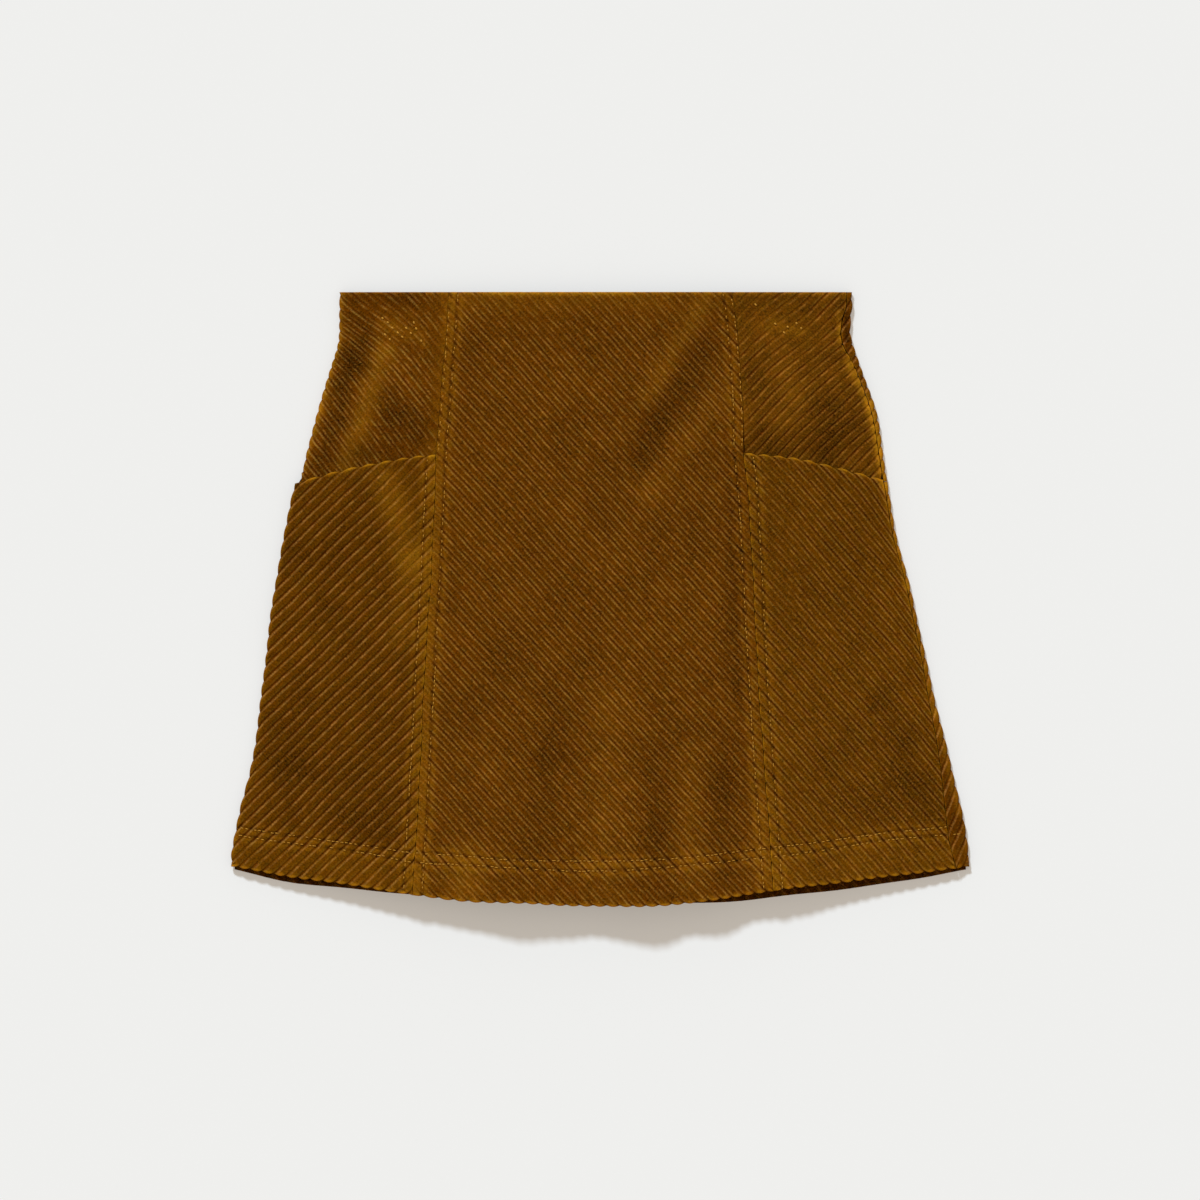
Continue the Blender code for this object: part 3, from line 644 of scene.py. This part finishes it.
# ---- side zip ----
# A closed nylon coil zip in the side seam: woven polyester tape, dyed brown, with a row of
# moulded teeth, and a lacquered slider pulled up to the top. It is sewn under the side edge
# and shows only through the slit near the waist.
TAPE_BOTTOM, TAPE_TOP = 40.0, 200.0
TAPE_WIDTH, TAPE_INSET = 8.0, 2.6
TAPE_FLOOR, TAPE_THICK = 1.8, 0.55
TEETH_BOTTOM, TEETH_TOP, TOOTH_PITCH = 43.0, 176.0, 1.6
TOOTH_SIZE, TOOTH_BEVEL, TOOTH_LIFT = (2.6, 0.9, 0.34), 0.12, 0.2

tape_heights = np.linspace(TAPE_BOTTOM, TAPE_TOP, 41)
corners = [((side_right(y) - TAPE_INSET - inset) * MM, y * MM, z * MM)
           for y in tape_heights for inset in (0.0, TAPE_WIDTH)
           for z in (TAPE_FLOOR, TAPE_FLOOR + TAPE_THICK)]
last = len(corners) - 4
faces = [(0, 1, 3, 2), (last, last + 2, last + 3, last + 1)]
for low in range(0, last, 4):
    faces += [(low + a, low + b, low + b + 4, low + a + 4)
              for a, b in ((0, 2), (3, 1), (1, 0), (2, 3))]
tape_mesh = bpy.data.meshes.new("zip_tape")
tape_mesh.from_pydata(corners, [], faces)
zip_tape = add_object("zip_tape", tape_mesh)

# Woven polyester tape: a flat, dull, even herringbone of fine threads, whose slanting ribs
# are 0.6 mm apart and drawn nearly 3 mm apart.
tape_finish = plain_finish(
    "woven_polyester_tape", "3a1f06", "TexWave", DIAGONAL, {"Scale": 160.0, "Distortion": 0.3},
    (0.4, 0.7), (0.5, 0.0002), {"Roughness": 0.8})
zip_tape.data.materials.append(tape_finish)
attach(zip_tape, "root")
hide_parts("side_zip_tape")

bpy.ops.object.select_all(action="DESELECT")
bpy.ops.mesh.primitive_cube_add(size=1.0, location=(0.0, 0.0, 0.0))
tooth = bpy.context.object
tooth.scale = [size * MM for size in TOOTH_SIZE]
bpy.ops.object.transform_apply(location=False, rotation=False, scale=True)
bpy.ops.object.mode_set(mode="EDIT")
bpy.ops.mesh.bevel(offset=TOOTH_BEVEL * MM, segments=2)
bpy.ops.object.mode_set(mode="OBJECT")
tooth_heights = np.arange(TEETH_BOTTOM, TEETH_TOP, TOOTH_PITCH)
teeth = [tooth] + [add_object("tooth", tooth.data.copy()) for _ in tooth_heights[1:]]
for piece, y in zip(teeth, tooth_heights):
    piece.location = ((side_right(y) - TAPE_INSET - TAPE_WIDTH / 2.0) * MM, y * MM,
                      (TAPE_FLOOR + TAPE_THICK + TOOTH_LIFT) * MM)
    piece.select_set(True)
bpy.context.view_layer.objects.active = tooth
bpy.ops.object.join()
bpy.ops.object.transform_apply(location=True, rotation=True, scale=True)
zip_teeth = bpy.context.object
zip_teeth.name = "zip_coil_teeth"
bpy.ops.object.shade_smooth_by_angle(angle=0.6)

# Moulded nylon coil, dyed brown: smooth, with a soft gloss on its rounded loops.
coil_finish = plain_finish(
    "moulded_nylon_coil", "2c1804", "TexNoise", [{}], {"Scale": 900.0, "Detail": 1.0},
    (0.3, 0.85), None, {"Roughness": 0.5, "Specular IOR Level": 0.2})
zip_teeth.data.materials.append(coil_finish)
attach(zip_teeth, "root")

# Brown lacquer over die-cast zinc: an even satin coat with faint orange peel.
lacquer = plain_finish(
    "brown_lacquer_on_zinc", "2e1a06", "TexNoise", [{}], {"Scale": 1500.0, "Detail": 2.0},
    (0.2, 0.9), (0.2, 0.0001), {"Roughness": 0.5, "Specular IOR Level": 0.1})
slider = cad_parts["side_zip_slider"]
slider.data.materials.clear()
slider.data.materials.append(lacquer)

# ---- turned margin ----
# The edge of the back that comes round the right side of the skirt and shows as a narrow
# strip with steep wales, sewn to the front: one piece along the hip, with the slit of the
# zip beside it, and one below.
SIDE_LIFT, ROLL, ROLL_WIDTH, DOME_POWER = 4.8, 3.0, 9.0, 1.2
FOLD_FADE = 25.0
TURN_BOTTOM = -177.7
MARGIN_SPLIT = 78.0   # the back's hip yoke ends here, and its margin with it
SLIT_GAP = 0.45
SEAM_GAP = 0.04

# Height, then the right edge of the front and the inner edge of the margin there.
TURN = [
    (203, 162.2, 162.5), (195, 162.4, 162.7), (188, 160.6, 162.6), (180, 158.6, 162.4),
    (171, 159, 162.6), (164.5, 161.6, 163.6), (159.5, 164.9, 165.2), (150.2, 169.2, 169.5),
    (123.8, 178, 178.3), (95.4, 183.7, 184), (76.9, 186.8, 187.1), (44.6, 192.9, 193.2),
    (5, 202.6, 202.9), (-34.7, 210.7, 211), (-74.3, 218.4, 218.7), (-113.9, 224.7, 225),
    (-140.3, 227.2, 227.5), (-160, 229.9, 230.2), (-177.7, 235, 235.3)]

# Height of the middle of the front over the table, from waist to hem.
CROWN = [(203, 9.6), (100, 10.2), (0, 11), (-80, 13), (-140, 16.5), (-203, 20.5)]

# Soft ridges and troughs, then fine creases and dimples: both ends, width and height.
FOLDS = [
    (69, 198, 33, 132, 13, 1.7), (69, 165, 29, 92, 14, -1.8), (82, 135, 33, 69, 13, 1.3),
    (-142, 165, -168, 95, 11, 1.4), (-136, 60, -130, -25, 15, 1.6), (128, 150, 124, 110, 14, 0.8),
    (-66, -125, -63, -203, 16, 3.2), (-22, -110, -13, -203, 15, -3), (30, -85, 26, -203, 14, 3),
    (46, -130, 49, -203, 9, -1.6), (68, -110, 71, -203, 11, 1.8), (90, -115, 94, -203, 11, -2),
    (122, -110, 128, -190, 14, 1.6), (-200, -125, -160, -150, 10, 0.9),
    (-86, 111.5, 13, 110.5, 1.6, -0.3), (-80, 164, -62, 152, 5, -0.7), (16, 152, 17, 150, 4, -0.5),
    (-208, -96, -168, -106, 5, 0.5), (-212, -112, -176, -124, 5, -0.5), (-150, 178, -118, 166, 4, 0.5),
    (112, 190, 140, 170, 4, 0.5), (-60, 196, 60, 196, 4, -0.3)]

turn_front, turn_back = smooth_line(TURN, 1), smooth_line(TURN, 2)
crown = smooth_line(CROWN, 1)


def front_inside(x, y):
    """Inner side of the front: a low dome that rolls down at the side edges."""
    left, right = side_left(y), side_right(y)
    dome = np.sin(math.pi * np.clip((x - left) / (right - left), 0.0, 1.0)) ** DOME_POWER
    inset = np.maximum(np.minimum(x - left, right - x), 0.0)
    roll = ROLL * np.maximum(0.0, 1.0 - inset / ROLL_WIDTH) ** 2
    rise = (crown(y) - SIDE_LIFT) * dome
    return SIDE_LIFT + rise - roll + strokes(FOLDS, x, y) * ease(inset / FOLD_FADE)


def margin_top(x, y):
    return front_inside(x, y) + WALL + RELIEF


def margin_edge(y):
    """Inner edge of the margin, which lies close to the front even along the slit."""
    return np.minimum(turn_back(y), turn_front(y) + SLIT_GAP)


low_margin_outline = joined(
    [(margin_edge(TURN_BOTTOM), TURN_BOTTOM, "hem"),
     (side_right(HEM[-1][1]), HEM[-1][1], "hem")],
    upright_edge(side_right, HEM[-1][1], MARGIN_SPLIT - SEAM_GAP, "side"),
    [(side_right(MARGIN_SPLIT), MARGIN_SPLIT - SEAM_GAP, "join"),
     (margin_edge(MARGIN_SPLIT), MARGIN_SPLIT - SEAM_GAP, "join")],
    upright_edge(margin_edge, MARGIN_SPLIT - SEAM_GAP, TURN_BOTTOM, "join"))
hip_margin_outline = joined(
    [(margin_edge(MARGIN_SPLIT), MARGIN_SPLIT + SEAM_GAP, "join"),
     (side_right(MARGIN_SPLIT), MARGIN_SPLIT + SEAM_GAP, "join")],
    upright_edge(side_right, MARGIN_SPLIT + SEAM_GAP, WAIST, "side"),
    level_edge(waist_line, SIDES[0][2], TURN[0][1] + SLIT_GAP, "waist"),
    upright_edge(margin_edge, WAIST, MARGIN_SPLIT + SEAM_GAP, "join"))
for name, outline, angle, length, area in (
        ("turned_margin_cloth", low_margin_outline, 67.0, 0.27, 0.0027),
        ("turned_hip_margin_cloth", hip_margin_outline, 50.0, 0.13, 0.001)):
    piece = wale_cloth(name, outline, angle, front_inside, margin_top, one, step=3.2)
    declare(piece, back_cord, "back_turned_margin", area)

# ---- hip yokes ----
# Two pieces that cover the hips from the waist to the pockets and go on under them as the
# pockets' backs. They are cut with their wales running down towards the middle, and sewn
# into the long seams; the right one also holds the side zip.
POCKET_DEPTH, YOKE_FLOOR = 104.0, 2.95
YOKE_DIP_SEAM, YOKE_DIP_MIDDLE, DIP_ABOVE, DIP_BELOW = 2.6, 4.4, 26.0, 3.0
RELIEF_FADE, YOKE_SIDE_END, PRESSED_WIDTH = 7.0, 84.0, 5.5
ROW_NEAR, ROW_FAR = 0.9, 6.2   # rows of sewing from the long seams

# Height, then the left and the right long seam there.
SEAMS = [
    (203, -100, 86.8), (186, -101.3, 89.4), (136, -105, 93.6), (97, -107.9, 94.6), (70, -109.4, 97.4),
    (-50, -115.6, 104), (-120, -119.6, 108.6), (-195, -124, 114.2)]

# Place across, and height of the pocket's mouth there.
MOUTH_LEFT = [(-203, 76.6), (-195.7, 78.9), (-156.4, 88.8), (-125.1, 94.1), (-107, 95.4)]
MOUTH_RIGHT = [(94.5, 97.4), (119.8, 94.7), (140.3, 91.4), (173.9, 82.8), (188.4, 78.5)]

seam_left, seam_right = smooth_line(SEAMS, 1), smooth_line(SEAMS, 2)
mouth_left, mouth_right = smooth_line(MOUTH_LEFT, 1), smooth_line(MOUTH_RIGHT, 1)


def mouth_share(x, mouth):
    """1 halfway along a pocket's mouth and 0 at its ends."""
    share = (x - mouth[0][0]) / (mouth[-1][0] - mouth[0][0])
    return np.sin(math.pi * np.clip(share, 0.0, 1.0))


def pressed_at(seam, x, y, share):
    """How much of the relief is left beside a long seam, where the sewing pressed the cloth."""
    return 1.0 - share * np.exp(-((x - seam(y)) / PRESSED_WIDTH) ** 2)


def yoke_surfaces(mouth, mouth_line, seam, full):
    """Inner side, top and relief of a yoke, which sinks under its pocket."""
    def inside(x, y):
        base = front_inside(x, y)
        depth = YOKE_DIP_SEAM + (YOKE_DIP_MIDDLE - YOKE_DIP_SEAM) * mouth_share(x, mouth)
        dip = depth * ease((mouth_line(x) + DIP_ABOVE - y) / (DIP_ABOVE + DIP_BELOW))
        return base - np.minimum(dip, np.maximum(base - YOKE_FLOOR, 0.0))

    def relief(x, y):
        shown = 1.0 - ease((mouth_line(x) - y) / RELIEF_FADE)
        return full * shown * pressed_at(seam, x, y, 0.5)

    def top(x, y):
        return inside(x, y) + WALL + RELIEF * relief(x, y)
    return inside, top, relief


yoke_bottom = YOKE_SIDE_END - POCKET_DEPTH
left_corner = side_left(YOKE_SIDE_END)
yoke_left_outline = joined(
    [(left_corner, yoke_bottom, "seam"), (seam_left(yoke_bottom), yoke_bottom, "seam")],
    upright_edge(seam_left, yoke_bottom, WAIST, "join", -SEAM_GAP),
    level_edge(waist_line, SEAMS[0][1] - SEAM_GAP, SIDES[0][1], "waist"),
    upright_edge(side_left, WAIST, YOKE_SIDE_END, "side"),
    [(left_corner, YOKE_SIDE_END, "seam"), (left_corner, yoke_bottom, "seam")])
right_corner = turn_front(YOKE_SIDE_END)
yoke_right_outline = joined(
    [(seam_right(yoke_bottom), yoke_bottom, "seam"), (right_corner, yoke_bottom, "seam"),
     (right_corner, YOKE_SIDE_END, "seam")],
    upright_edge(turn_front, YOKE_SIDE_END, WAIST, "cap"),
    level_edge(waist_line, TURN[0][1], SEAMS[0][2] + SEAM_GAP, "waist"),
    upright_edge(seam_right, WAIST, yoke_bottom, "join", SEAM_GAP))
yoke_left_surfaces = yoke_surfaces(MOUTH_LEFT, mouth_left, seam_left, 0.9)
yoke_right_surfaces = yoke_surfaces(MOUTH_RIGHT, mouth_right, seam_right, 0.85)
yoke_left_top, yoke_right_top = yoke_left_surfaces[1], yoke_right_surfaces[1]


def left_sag(x, y):
    """Towards its side edge the left yoke sags below the waist."""
    return -20.0 * (1.0 - ease((x + 175.0) / 62.0)) * ease((y - 143.0) / 57.0)


def right_sag(x, y):
    """The right yoke sags towards its side edge at the waist, and rises at the pocket."""
    high = -8.0 * ease((x - 98.0) / 40.0) * ease((y - 130.0) / 55.0)
    return high + 7.5 * ease((x - 95.0) / 75.0) * (1.0 - ease((y - 95.0) / 40.0))


# Each yoke has its own copy of the corduroy, with rims painted lighter and darker for how its wales lie
# to the lamp: painted highlight and painted shade.
cord_left = corduroy("wide_wale_corduroy_left_yoke", "7b511b", "7c5620", marked=1.2,
                     wear=0.85)
cord_right = corduroy("wide_wale_corduroy_right_yoke", "7e5018", "6b4410", "5b3403",
                      marked=1.3, wear=0.85)
for node, outline, angle, surfaces, sag, cord in (
        ("yoke_left", yoke_left_outline, 128.0, yoke_left_surfaces, left_sag, cord_left),
        ("yoke_right", yoke_right_outline, 46.0, yoke_right_surfaces, right_sag, cord_right)):
    piece = wale_cloth(node + "_cloth", outline, angle, *surfaces, sag=sag)
    declare(piece, cord, node, 0.020)

# ---- pockets ----
# Two big patch pockets of the same corduroy that reach from an angled mouth down to the hem
# and are caught in the long seams and the side seams. Each mouth is folded to a facing, and
# gapes a little.
LAP_GAP, MOUTH_GAPE, GAPE_FADE = 0.65, 4.2, 80.0
SEAM_HEM_LEFT, SEAM_HEM_RIGHT, MOUTH_END_RIGHT = -124.0, 114.0, 186.4
FACING_DEPTH, FACING_STEP = 50.0, 0.35
DENT_WIDTH, DENT_DEPTH = 1.1, 0.38
SEAM_PUFF, HEM_PUFF = 0.6, 0.35
ROW_SHEEN_PAINT, PILE_AWAY, PILE_WIDTH = 0.35, 2.4, 1.6   # painted highlight on the pile beside the sewing: strength, distance and width

# Place across, then the lower and the upper row of sewing that hold the hem's turning.
HEM_ROWS = [
    (-238.6, -155.8, -150.4), (-220.8, -158.7, -153.4), (-181.8, -163.4, -158.7),
    (-143.6, -169.3, -164.2), (-125.1, -173.3, -166.9), (-86.8, -175.2, -169.3), (-67, -176.6, -171.3),
    (-7.6, -179.2, -172.6), (41.9, -176.6, -171.3), (65.7, -174.6, -169.3), (109.9, -170, -164),
    (129, -168, -162), (191.7, -158.7, -153.9), (241.2, -154.4, -149.2)]

hem_row_low, hem_row_high = smooth_line(HEM_ROWS, 1), smooth_line(HEM_ROWS, 2)


def about_rows(x, y, away, width):
    """1 at this distance from any row of sewing on the front, and less nearer or farther."""
    found = [y - hem_row_low(x), y - hem_row_high(x)]
    for seam, middle_side, mouth_end in ((seam_left, 1.0, MOUTH_LEFT[-1][1]),
                                         (seam_right, -1.0, MOUTH_RIGHT[0][1])):
        inward = (x - seam(y)) * middle_side
        found.append(inward - ROW_FAR)
        found.append(np.where(y > mouth_end, inward - ROW_NEAR, inward + ROW_FAR))
    return np.exp(-np.min([((np.abs(far) - away) / width) ** 2 for far in found], axis=0))


def sewn_in(x, y):
    """Share by which the rows of sewing pull the cloth in at this place."""
    return about_rows(x, y, 0.0, DENT_WIDTH)


def painted_row_sheen(x, y):
    """Share of painted highlight on the pile beside the rows of sewing."""
    return ROW_SHEEN_PAINT * about_rows(x, y, PILE_AWAY, PILE_WIDTH)


def puff(x, y):
    """How far the layers inside the seams and the hem lift the cloth."""
    lift = HEM_PUFF * (1.0 - ease((y - hem_row_low(x)) / 5.0))
    for seam in (seam_left, seam_right):
        lift = lift + SEAM_PUFF * (1.0 - ease((np.abs(x - seam(y)) - 4.0) / 2.5))
    return lift


def front_top(inside):
    """Height of the wales' tops over an inner side, with the sewing's pull."""
    def top(x, y):
        return inside(x, y) + WALL + RELIEF + puff(x, y) - DENT_DEPTH * sewn_in(x, y)
    return top


def front_relief(x, y):
    return 1.0 + 0.2 * sewn_in(x, y)


def pocket_inside(mouth, mouth_line, yoke_top):
    """Inner side of a pocket: the front's own, clear of the yoke and gaping a little."""
    def inside(x, y):
        below = np.maximum(mouth_line(x) - y, 0.0)
        gape = MOUTH_GAPE * mouth_share(x, mouth) * (1.0 - ease(below / GAPE_FADE))
        own = front_inside(x, y) + gape
        own = own + FACING_STEP * (1.0 - ease((below - FACING_DEPTH) / 2.5))
        lap = np.maximum(own, yoke_top(x, y) + LAP_GAP)
        return np.where(below > POCKET_DEPTH + ROLL_WIDTH, own, lap)
    return inside


pocket_left_inside = pocket_inside(MOUTH_LEFT, mouth_left, yoke_left_top)
pocket_right_inside = pocket_inside(MOUTH_RIGHT, mouth_right, yoke_right_top)
bottom_left, bottom_right = hem_front(SEAM_HEM_LEFT), hem_front(SEAM_HEM_RIGHT)
pocket_left_outline = joined(
    level_edge(hem_front, side_left(hem_front(SIDES[-1][1])),
               seam_left(bottom_left) - SEAM_GAP, "hem"),
    upright_edge(seam_left, bottom_left, MOUTH_LEFT[-1][1], "cap", -SEAM_GAP),
    level_edge(mouth_left, seam_left(MOUTH_LEFT[-1][1]) - SEAM_GAP,
               side_left(MOUTH_LEFT[0][1]), "fold"),
    upright_edge(side_left, MOUTH_LEFT[0][1], hem_front(SIDES[-1][1]), "side"))
mouth_end = mouth_right(MOUTH_END_RIGHT)
pocket_right_outline = joined(
    level_edge(hem_front, seam_right(bottom_right) + SEAM_GAP, turn_front(TURN_BOTTOM), "hem"),
    upright_edge(turn_front, TURN_BOTTOM, mouth_end, "join"),
    level_edge(mouth_right, turn_front(mouth_end), seam_right(MOUTH_RIGHT[0][1]) + SEAM_GAP,
               "fold"),
    upright_edge(seam_right, MOUTH_RIGHT[0][1], bottom_right, "cap", SEAM_GAP))


def over(row):
    """How far a place lies over a row of sewing along the hem."""
    return lambda x, y: y - row(x)


def beside(seam, shift):
    """How far a place lies to the right of a row of sewing along a long seam."""
    return lambda x, y: x - seam(y) - shift


hem_marks = [over(hem_row_low), over(hem_row_high)]


def side_sag(x, y):
    """The right pocket's wales steepen where it rolls over the side."""
    near = np.clip(1.0 - (side_right(y) - x) / 20.0, 0.0, 1.0)
    return -5.0 * near ** 2 * ease((y + 165.0) / 30.0) * ease((88.0 - y) / 25.0)


# Each pocket has its own copy of the corduroy, with rims painted for how its wales lie to the lamp: the
# left pocket's far rim is in painted shade.
cord_left = corduroy("wide_wale_corduroy_left_pocket", "7d5321", "5b3909", "562f00")
cord_right = corduroy("wide_wale_corduroy_right_pocket", "774f19", "775019", "593100")
for node, outline, angle, inside, mark, sag, cord in (
        ("pocket_left", pocket_left_outline, 44.0, pocket_left_inside,
         beside(seam_left, -ROW_FAR), zero, cord_left),
        ("pocket_right", pocket_right_outline, 132.0, pocket_right_inside,
         beside(seam_right, ROW_FAR), side_sag, cord_right)):
    piece = wale_cloth(node + "_cloth", outline, angle, inside, front_top(inside),
                       front_relief, hem_marks + [mark], pull=sewn_in, painted_sheen=painted_row_sheen,
                       sag=sag)
    declare(piece, cord, node, 0.0295)

# ---- front centre panel ----
# The one wide piece down the middle of the front, cut on the bias so that its wales run down
# to the right. Its sides are sewn to yokes and pockets, and its waist edge is turned in.
centre_outline = joined(
    level_edge(hem_front, seam_left(bottom_left) + SEAM_GAP,
               seam_right(bottom_right) - SEAM_GAP, "hem"),
    upright_edge(seam_right, bottom_right, WAIST, "join", -SEAM_GAP),
    level_edge(waist_line, SEAMS[0][2] - SEAM_GAP, SEAMS[0][1] + SEAM_GAP, "waist"),
    upright_edge(seam_left, WAIST, bottom_left, "join", SEAM_GAP))


def centre_relief(x, y):
    share = 0.5 + 0.2 * ease((y - 85.0) / 20.0)
    return (front_relief(x, y) * pressed_at(seam_left, x, y, share)
            * pressed_at(seam_right, x, y, 0.15))


centre_cloth = wale_cloth(
    "centre_panel_cloth", centre_outline, 133.0, front_inside, front_top(front_inside),
    centre_relief, hem_marks + [beside(seam_left, ROW_FAR), beside(seam_right, -ROW_FAR)],
    pull=sewn_in, painted_sheen=painted_row_sheen)
# The centre's wales run along the light, so both rims get about the same painted highlight.
centre_cord = corduroy("wide_wale_corduroy_centre", "774e18", "7b531d")
declare(centre_cloth, centre_cord, "front_centre_panel",
        0.086)

# ---- sewing ----
# Lockstitch in brown polyester thread: twin rows down the long seams and round the hem, each
# stitch 2.9 mm long and pulled a little into the pile, and a few short rows of tacks on each
# yoke that hold the facing inside.
STITCH_PITCH, STITCH_LENGTH, THREAD = 2.9, 2.9, 0.34
SUNK_SHARE, SUNK_CHANCE = 0.12, 0.12   # stitches that sink: about a valley, and elsewhere
SIDES_OF_THREAD, ROW_POINTS = 6, 80
THREAD_DEPTH = 0.15   # rows of sewing lie this share of a wale's height under its top

# Rings along a stitch: place, thickness, and height over the cloth.
SPINDLE = [(-1.0, 0.35, -0.25), (-0.6, 0.9, 0.05), (0.0, 1.0, 0.15), (0.6, 0.9, 0.05),
           (1.0, 0.35, -0.25)]
TACK_PITCH, TACK_LENGTH, TACK_THREAD = 4.4, 2.4, 0.7
chance = np.random.default_rng(5)


def thread_stitches(name, rows, top_of, angle, pitch=STITCH_PITCH, length=STITCH_LENGTH,
                    thread=THREAD):
    """The stitches of some rows as small closed spindles.

    Those between two wales sink out of sight in the pile, and so do a few of the others.
    """
    corners, faces = [], []
    sides = range(SIDES_OF_THREAD)
    turn = math.radians(angle)
    for line in rows:
        line = np.array(line)
        lengths = np.concatenate(([0.0], np.cumsum(np.hypot(*np.diff(line, axis=0).T))))
        for index in range(int(lengths[-1] / pitch)):
            sunk, slip, aside, short = chance.random(4)
            middle = (index + 0.4 + 0.2 * slip) * pitch
            half = length * (0.35 + 0.15 * short)
            along = [middle - half, middle, middle + half]
            at, up = [np.interp(along, lengths, column) for column in line.T]
            way = np.array((at[2] - at[0], up[2] - up[0]))
            way = way / max(np.hypot(*way), 1e-6)
            off = np.array((-way[1], way[0]))
            mid_x, mid_y = np.array((at[1], up[1])) + (aside - 0.5) * 0.5 * off
            phase = ((mid_x * math.sin(turn) - mid_y * math.cos(turn)) / PITCH) % 1.0
            if sunk < SUNK_CHANCE or min(phase, 1.0 - phase) < SUNK_SHARE:
                continue
            height = top_of(np.array([mid_x]), np.array([mid_y]))[0]
            base = len(corners)
            for share, thick, lift in SPINDLE:
                for side in sides:
                    around = 2.0 * math.pi * side / SIDES_OF_THREAD
                    wide = thread * thick * math.cos(around)
                    corners.append(((mid_x + share * half * way[0] + wide * off[0]) * MM,
                                    (mid_y + share * half * way[1] + wide * off[1]) * MM,
                                    (height + lift + thread * thick * math.sin(around)) * MM))
            rings = [[base + ring * SIDES_OF_THREAD + side for side in sides]
                     for ring in range(len(SPINDLE))]
            for ring, after in zip(rings, rings[1:]):
                faces += [(ring[side - 1], ring[side], after[side], after[side - 1])
                          for side in sides]
            faces += [rings[0][::-1], rings[-1]]
    piece = closed_piece(name, corners, faces)
    piece.data.materials.append(thread_finish)
    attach(piece, "root")


# Twisted polyester sewing thread, dyed to match but a shade lighter, with a soft gloss. Its
# ply twists about once in 0.8 mm, and is drawn twice as long.
thread_finish = plain_finish(
    "twisted_polyester_thread", "b27c22", "TexWave", DIAGONAL,
    {"Scale": 380.0, "Distortion": 1.0}, (0.4, 0.7), (0.4, 0.0001),
    {"Roughness": 0.55, "Specular IOR Level": 0.2})


def sewing_height(inside):
    """Where a row of sewing lies on the cloth over an inner side."""
    top = front_top(inside)
    return lambda x, y: top(x, y) - THREAD_DEPTH * RELIEF


def seam_row(seam, shift, start, end):
    """Points down a row of sewing beside a long seam."""
    heights = np.linspace(start, end, ROW_POINTS)
    return np.stack((seam(heights) + shift, heights), axis=1)


def hem_row(row, start, end):
    """Points along a row of sewing over the hem."""
    places = np.linspace(start, end, ROW_POINTS)
    return np.stack((places, row(places)), axis=1)


row_top, row_bottom = WAIST - 1.0, bottom_left + 1.5
thread_stitches("sewing_on_centre_panel", [
    seam_row(seam_left, ROW_NEAR, row_top, 97.0),
    seam_row(seam_left, ROW_FAR, row_top, row_bottom),
    seam_row(seam_right, -ROW_NEAR, row_top, 99.0),
    seam_row(seam_right, -ROW_FAR, row_top, row_bottom),
    hem_row(hem_row_low, -122.0, 112.0),
    hem_row(hem_row_high, -122.0, 112.0)], sewing_height(front_inside), 133.0)
thread_stitches("sewing_on_pocket_left", [
    seam_row(seam_left, -ROW_FAR, 93.0, row_bottom),
    hem_row(hem_row_low, -239.0, -124.0),
    hem_row(hem_row_high, -238.0, -124.0)], sewing_height(pocket_left_inside), 44.0)
thread_stitches("sewing_on_pocket_right", [
    seam_row(seam_right, ROW_FAR, 95.0, row_bottom),
    hem_row(hem_row_low, 114.0, 238.0),
    hem_row(hem_row_high, 114.0, 238.0)], sewing_height(pocket_right_inside), 132.0)

# Both ends of each short row of tacks.
TACKS_LEFT = [((-145.0, 187.0), (-129.0, 171.5)), ((-129.5, 181.0), (-121.0, 171.0)),
              ((-124.0, 184.5), (-116.5, 167.0)), ((-143.5, 176.5), (-137.0, 170.0))]
TACKS_RIGHT = [((101.0, 195.7), (123.5, 174.0)), ((119.5, 185.0), (128.0, 175.0)),
               ((128.0, 183.5), (140.0, 171.0))]
for side, tacks, top, angle in (("left", TACKS_LEFT, yoke_left_top, 128.0),
                                ("right", TACKS_RIGHT, yoke_right_top, 46.0)):
    thread_stitches("tacks_on_" + side + "_yoke", tacks, top, angle, TACK_PITCH, TACK_LENGTH,
                    TACK_THREAD)

# ---- floor, light and camera ----
# A matt paper sweep with a painted glow that lightens the shadows on it, under soft studio
# light from beyond the waist, seen straight from above.
bpy.ops.object.select_all(action="DESELECT")
bpy.ops.mesh.primitive_plane_add(size=6.0, location=(0.0, 0.0, 0.0))
floor = bpy.context.object
floor.name = "studio_floor"
# The paper glows by itself: a painted glow that lifts the skirt's shadows on the floor.
painted_glow = {"Emission Color": (1.0, 0.93, 0.84, 1.0), "Emission Strength": 0.28}
paper = plain_finish(
    "matt_paper_sweep_with_painted_glow", "c3c3c3", "TexNoise", [{}], {"Scale": 300.0, "Detail": 2.0},
    (0.01, 0.995), None, {"Roughness": 1.0, "Specular IOR Level": 0.0, **painted_glow})
floor.data.materials.append(paper)

world = bpy.data.worlds.new("studio")
world.use_nodes = True
background = world.node_tree.nodes["Background"]
background.inputs["Color"].default_value = (1.0, 0.88, 0.74, 1.0)
background.inputs["Strength"].default_value = 0.48
bpy.context.scene.world = world

lamp = bpy.data.lights.new("softbox", "SUN")
lamp.energy = 3.75
lamp.color = (0.77, 0.89, 1.0)
lamp.angle = math.radians(8.0)
softbox = add_object("softbox", lamp)
softbox.rotation_euler = (math.radians(-49.8), 0.0, math.radians(20.0))

eye = bpy.data.cameras.new("camera")
eye.lens = 400.0
eye.sensor_width = 36.0
eye.clip_end = 100.0
camera = add_object("camera", eye)
camera.location = (-0.33 * MM, -0.33 * MM, 8.81)
bpy.context.scene.camera = camera
bpy.context.scene.view_settings.view_transform = "Standard"
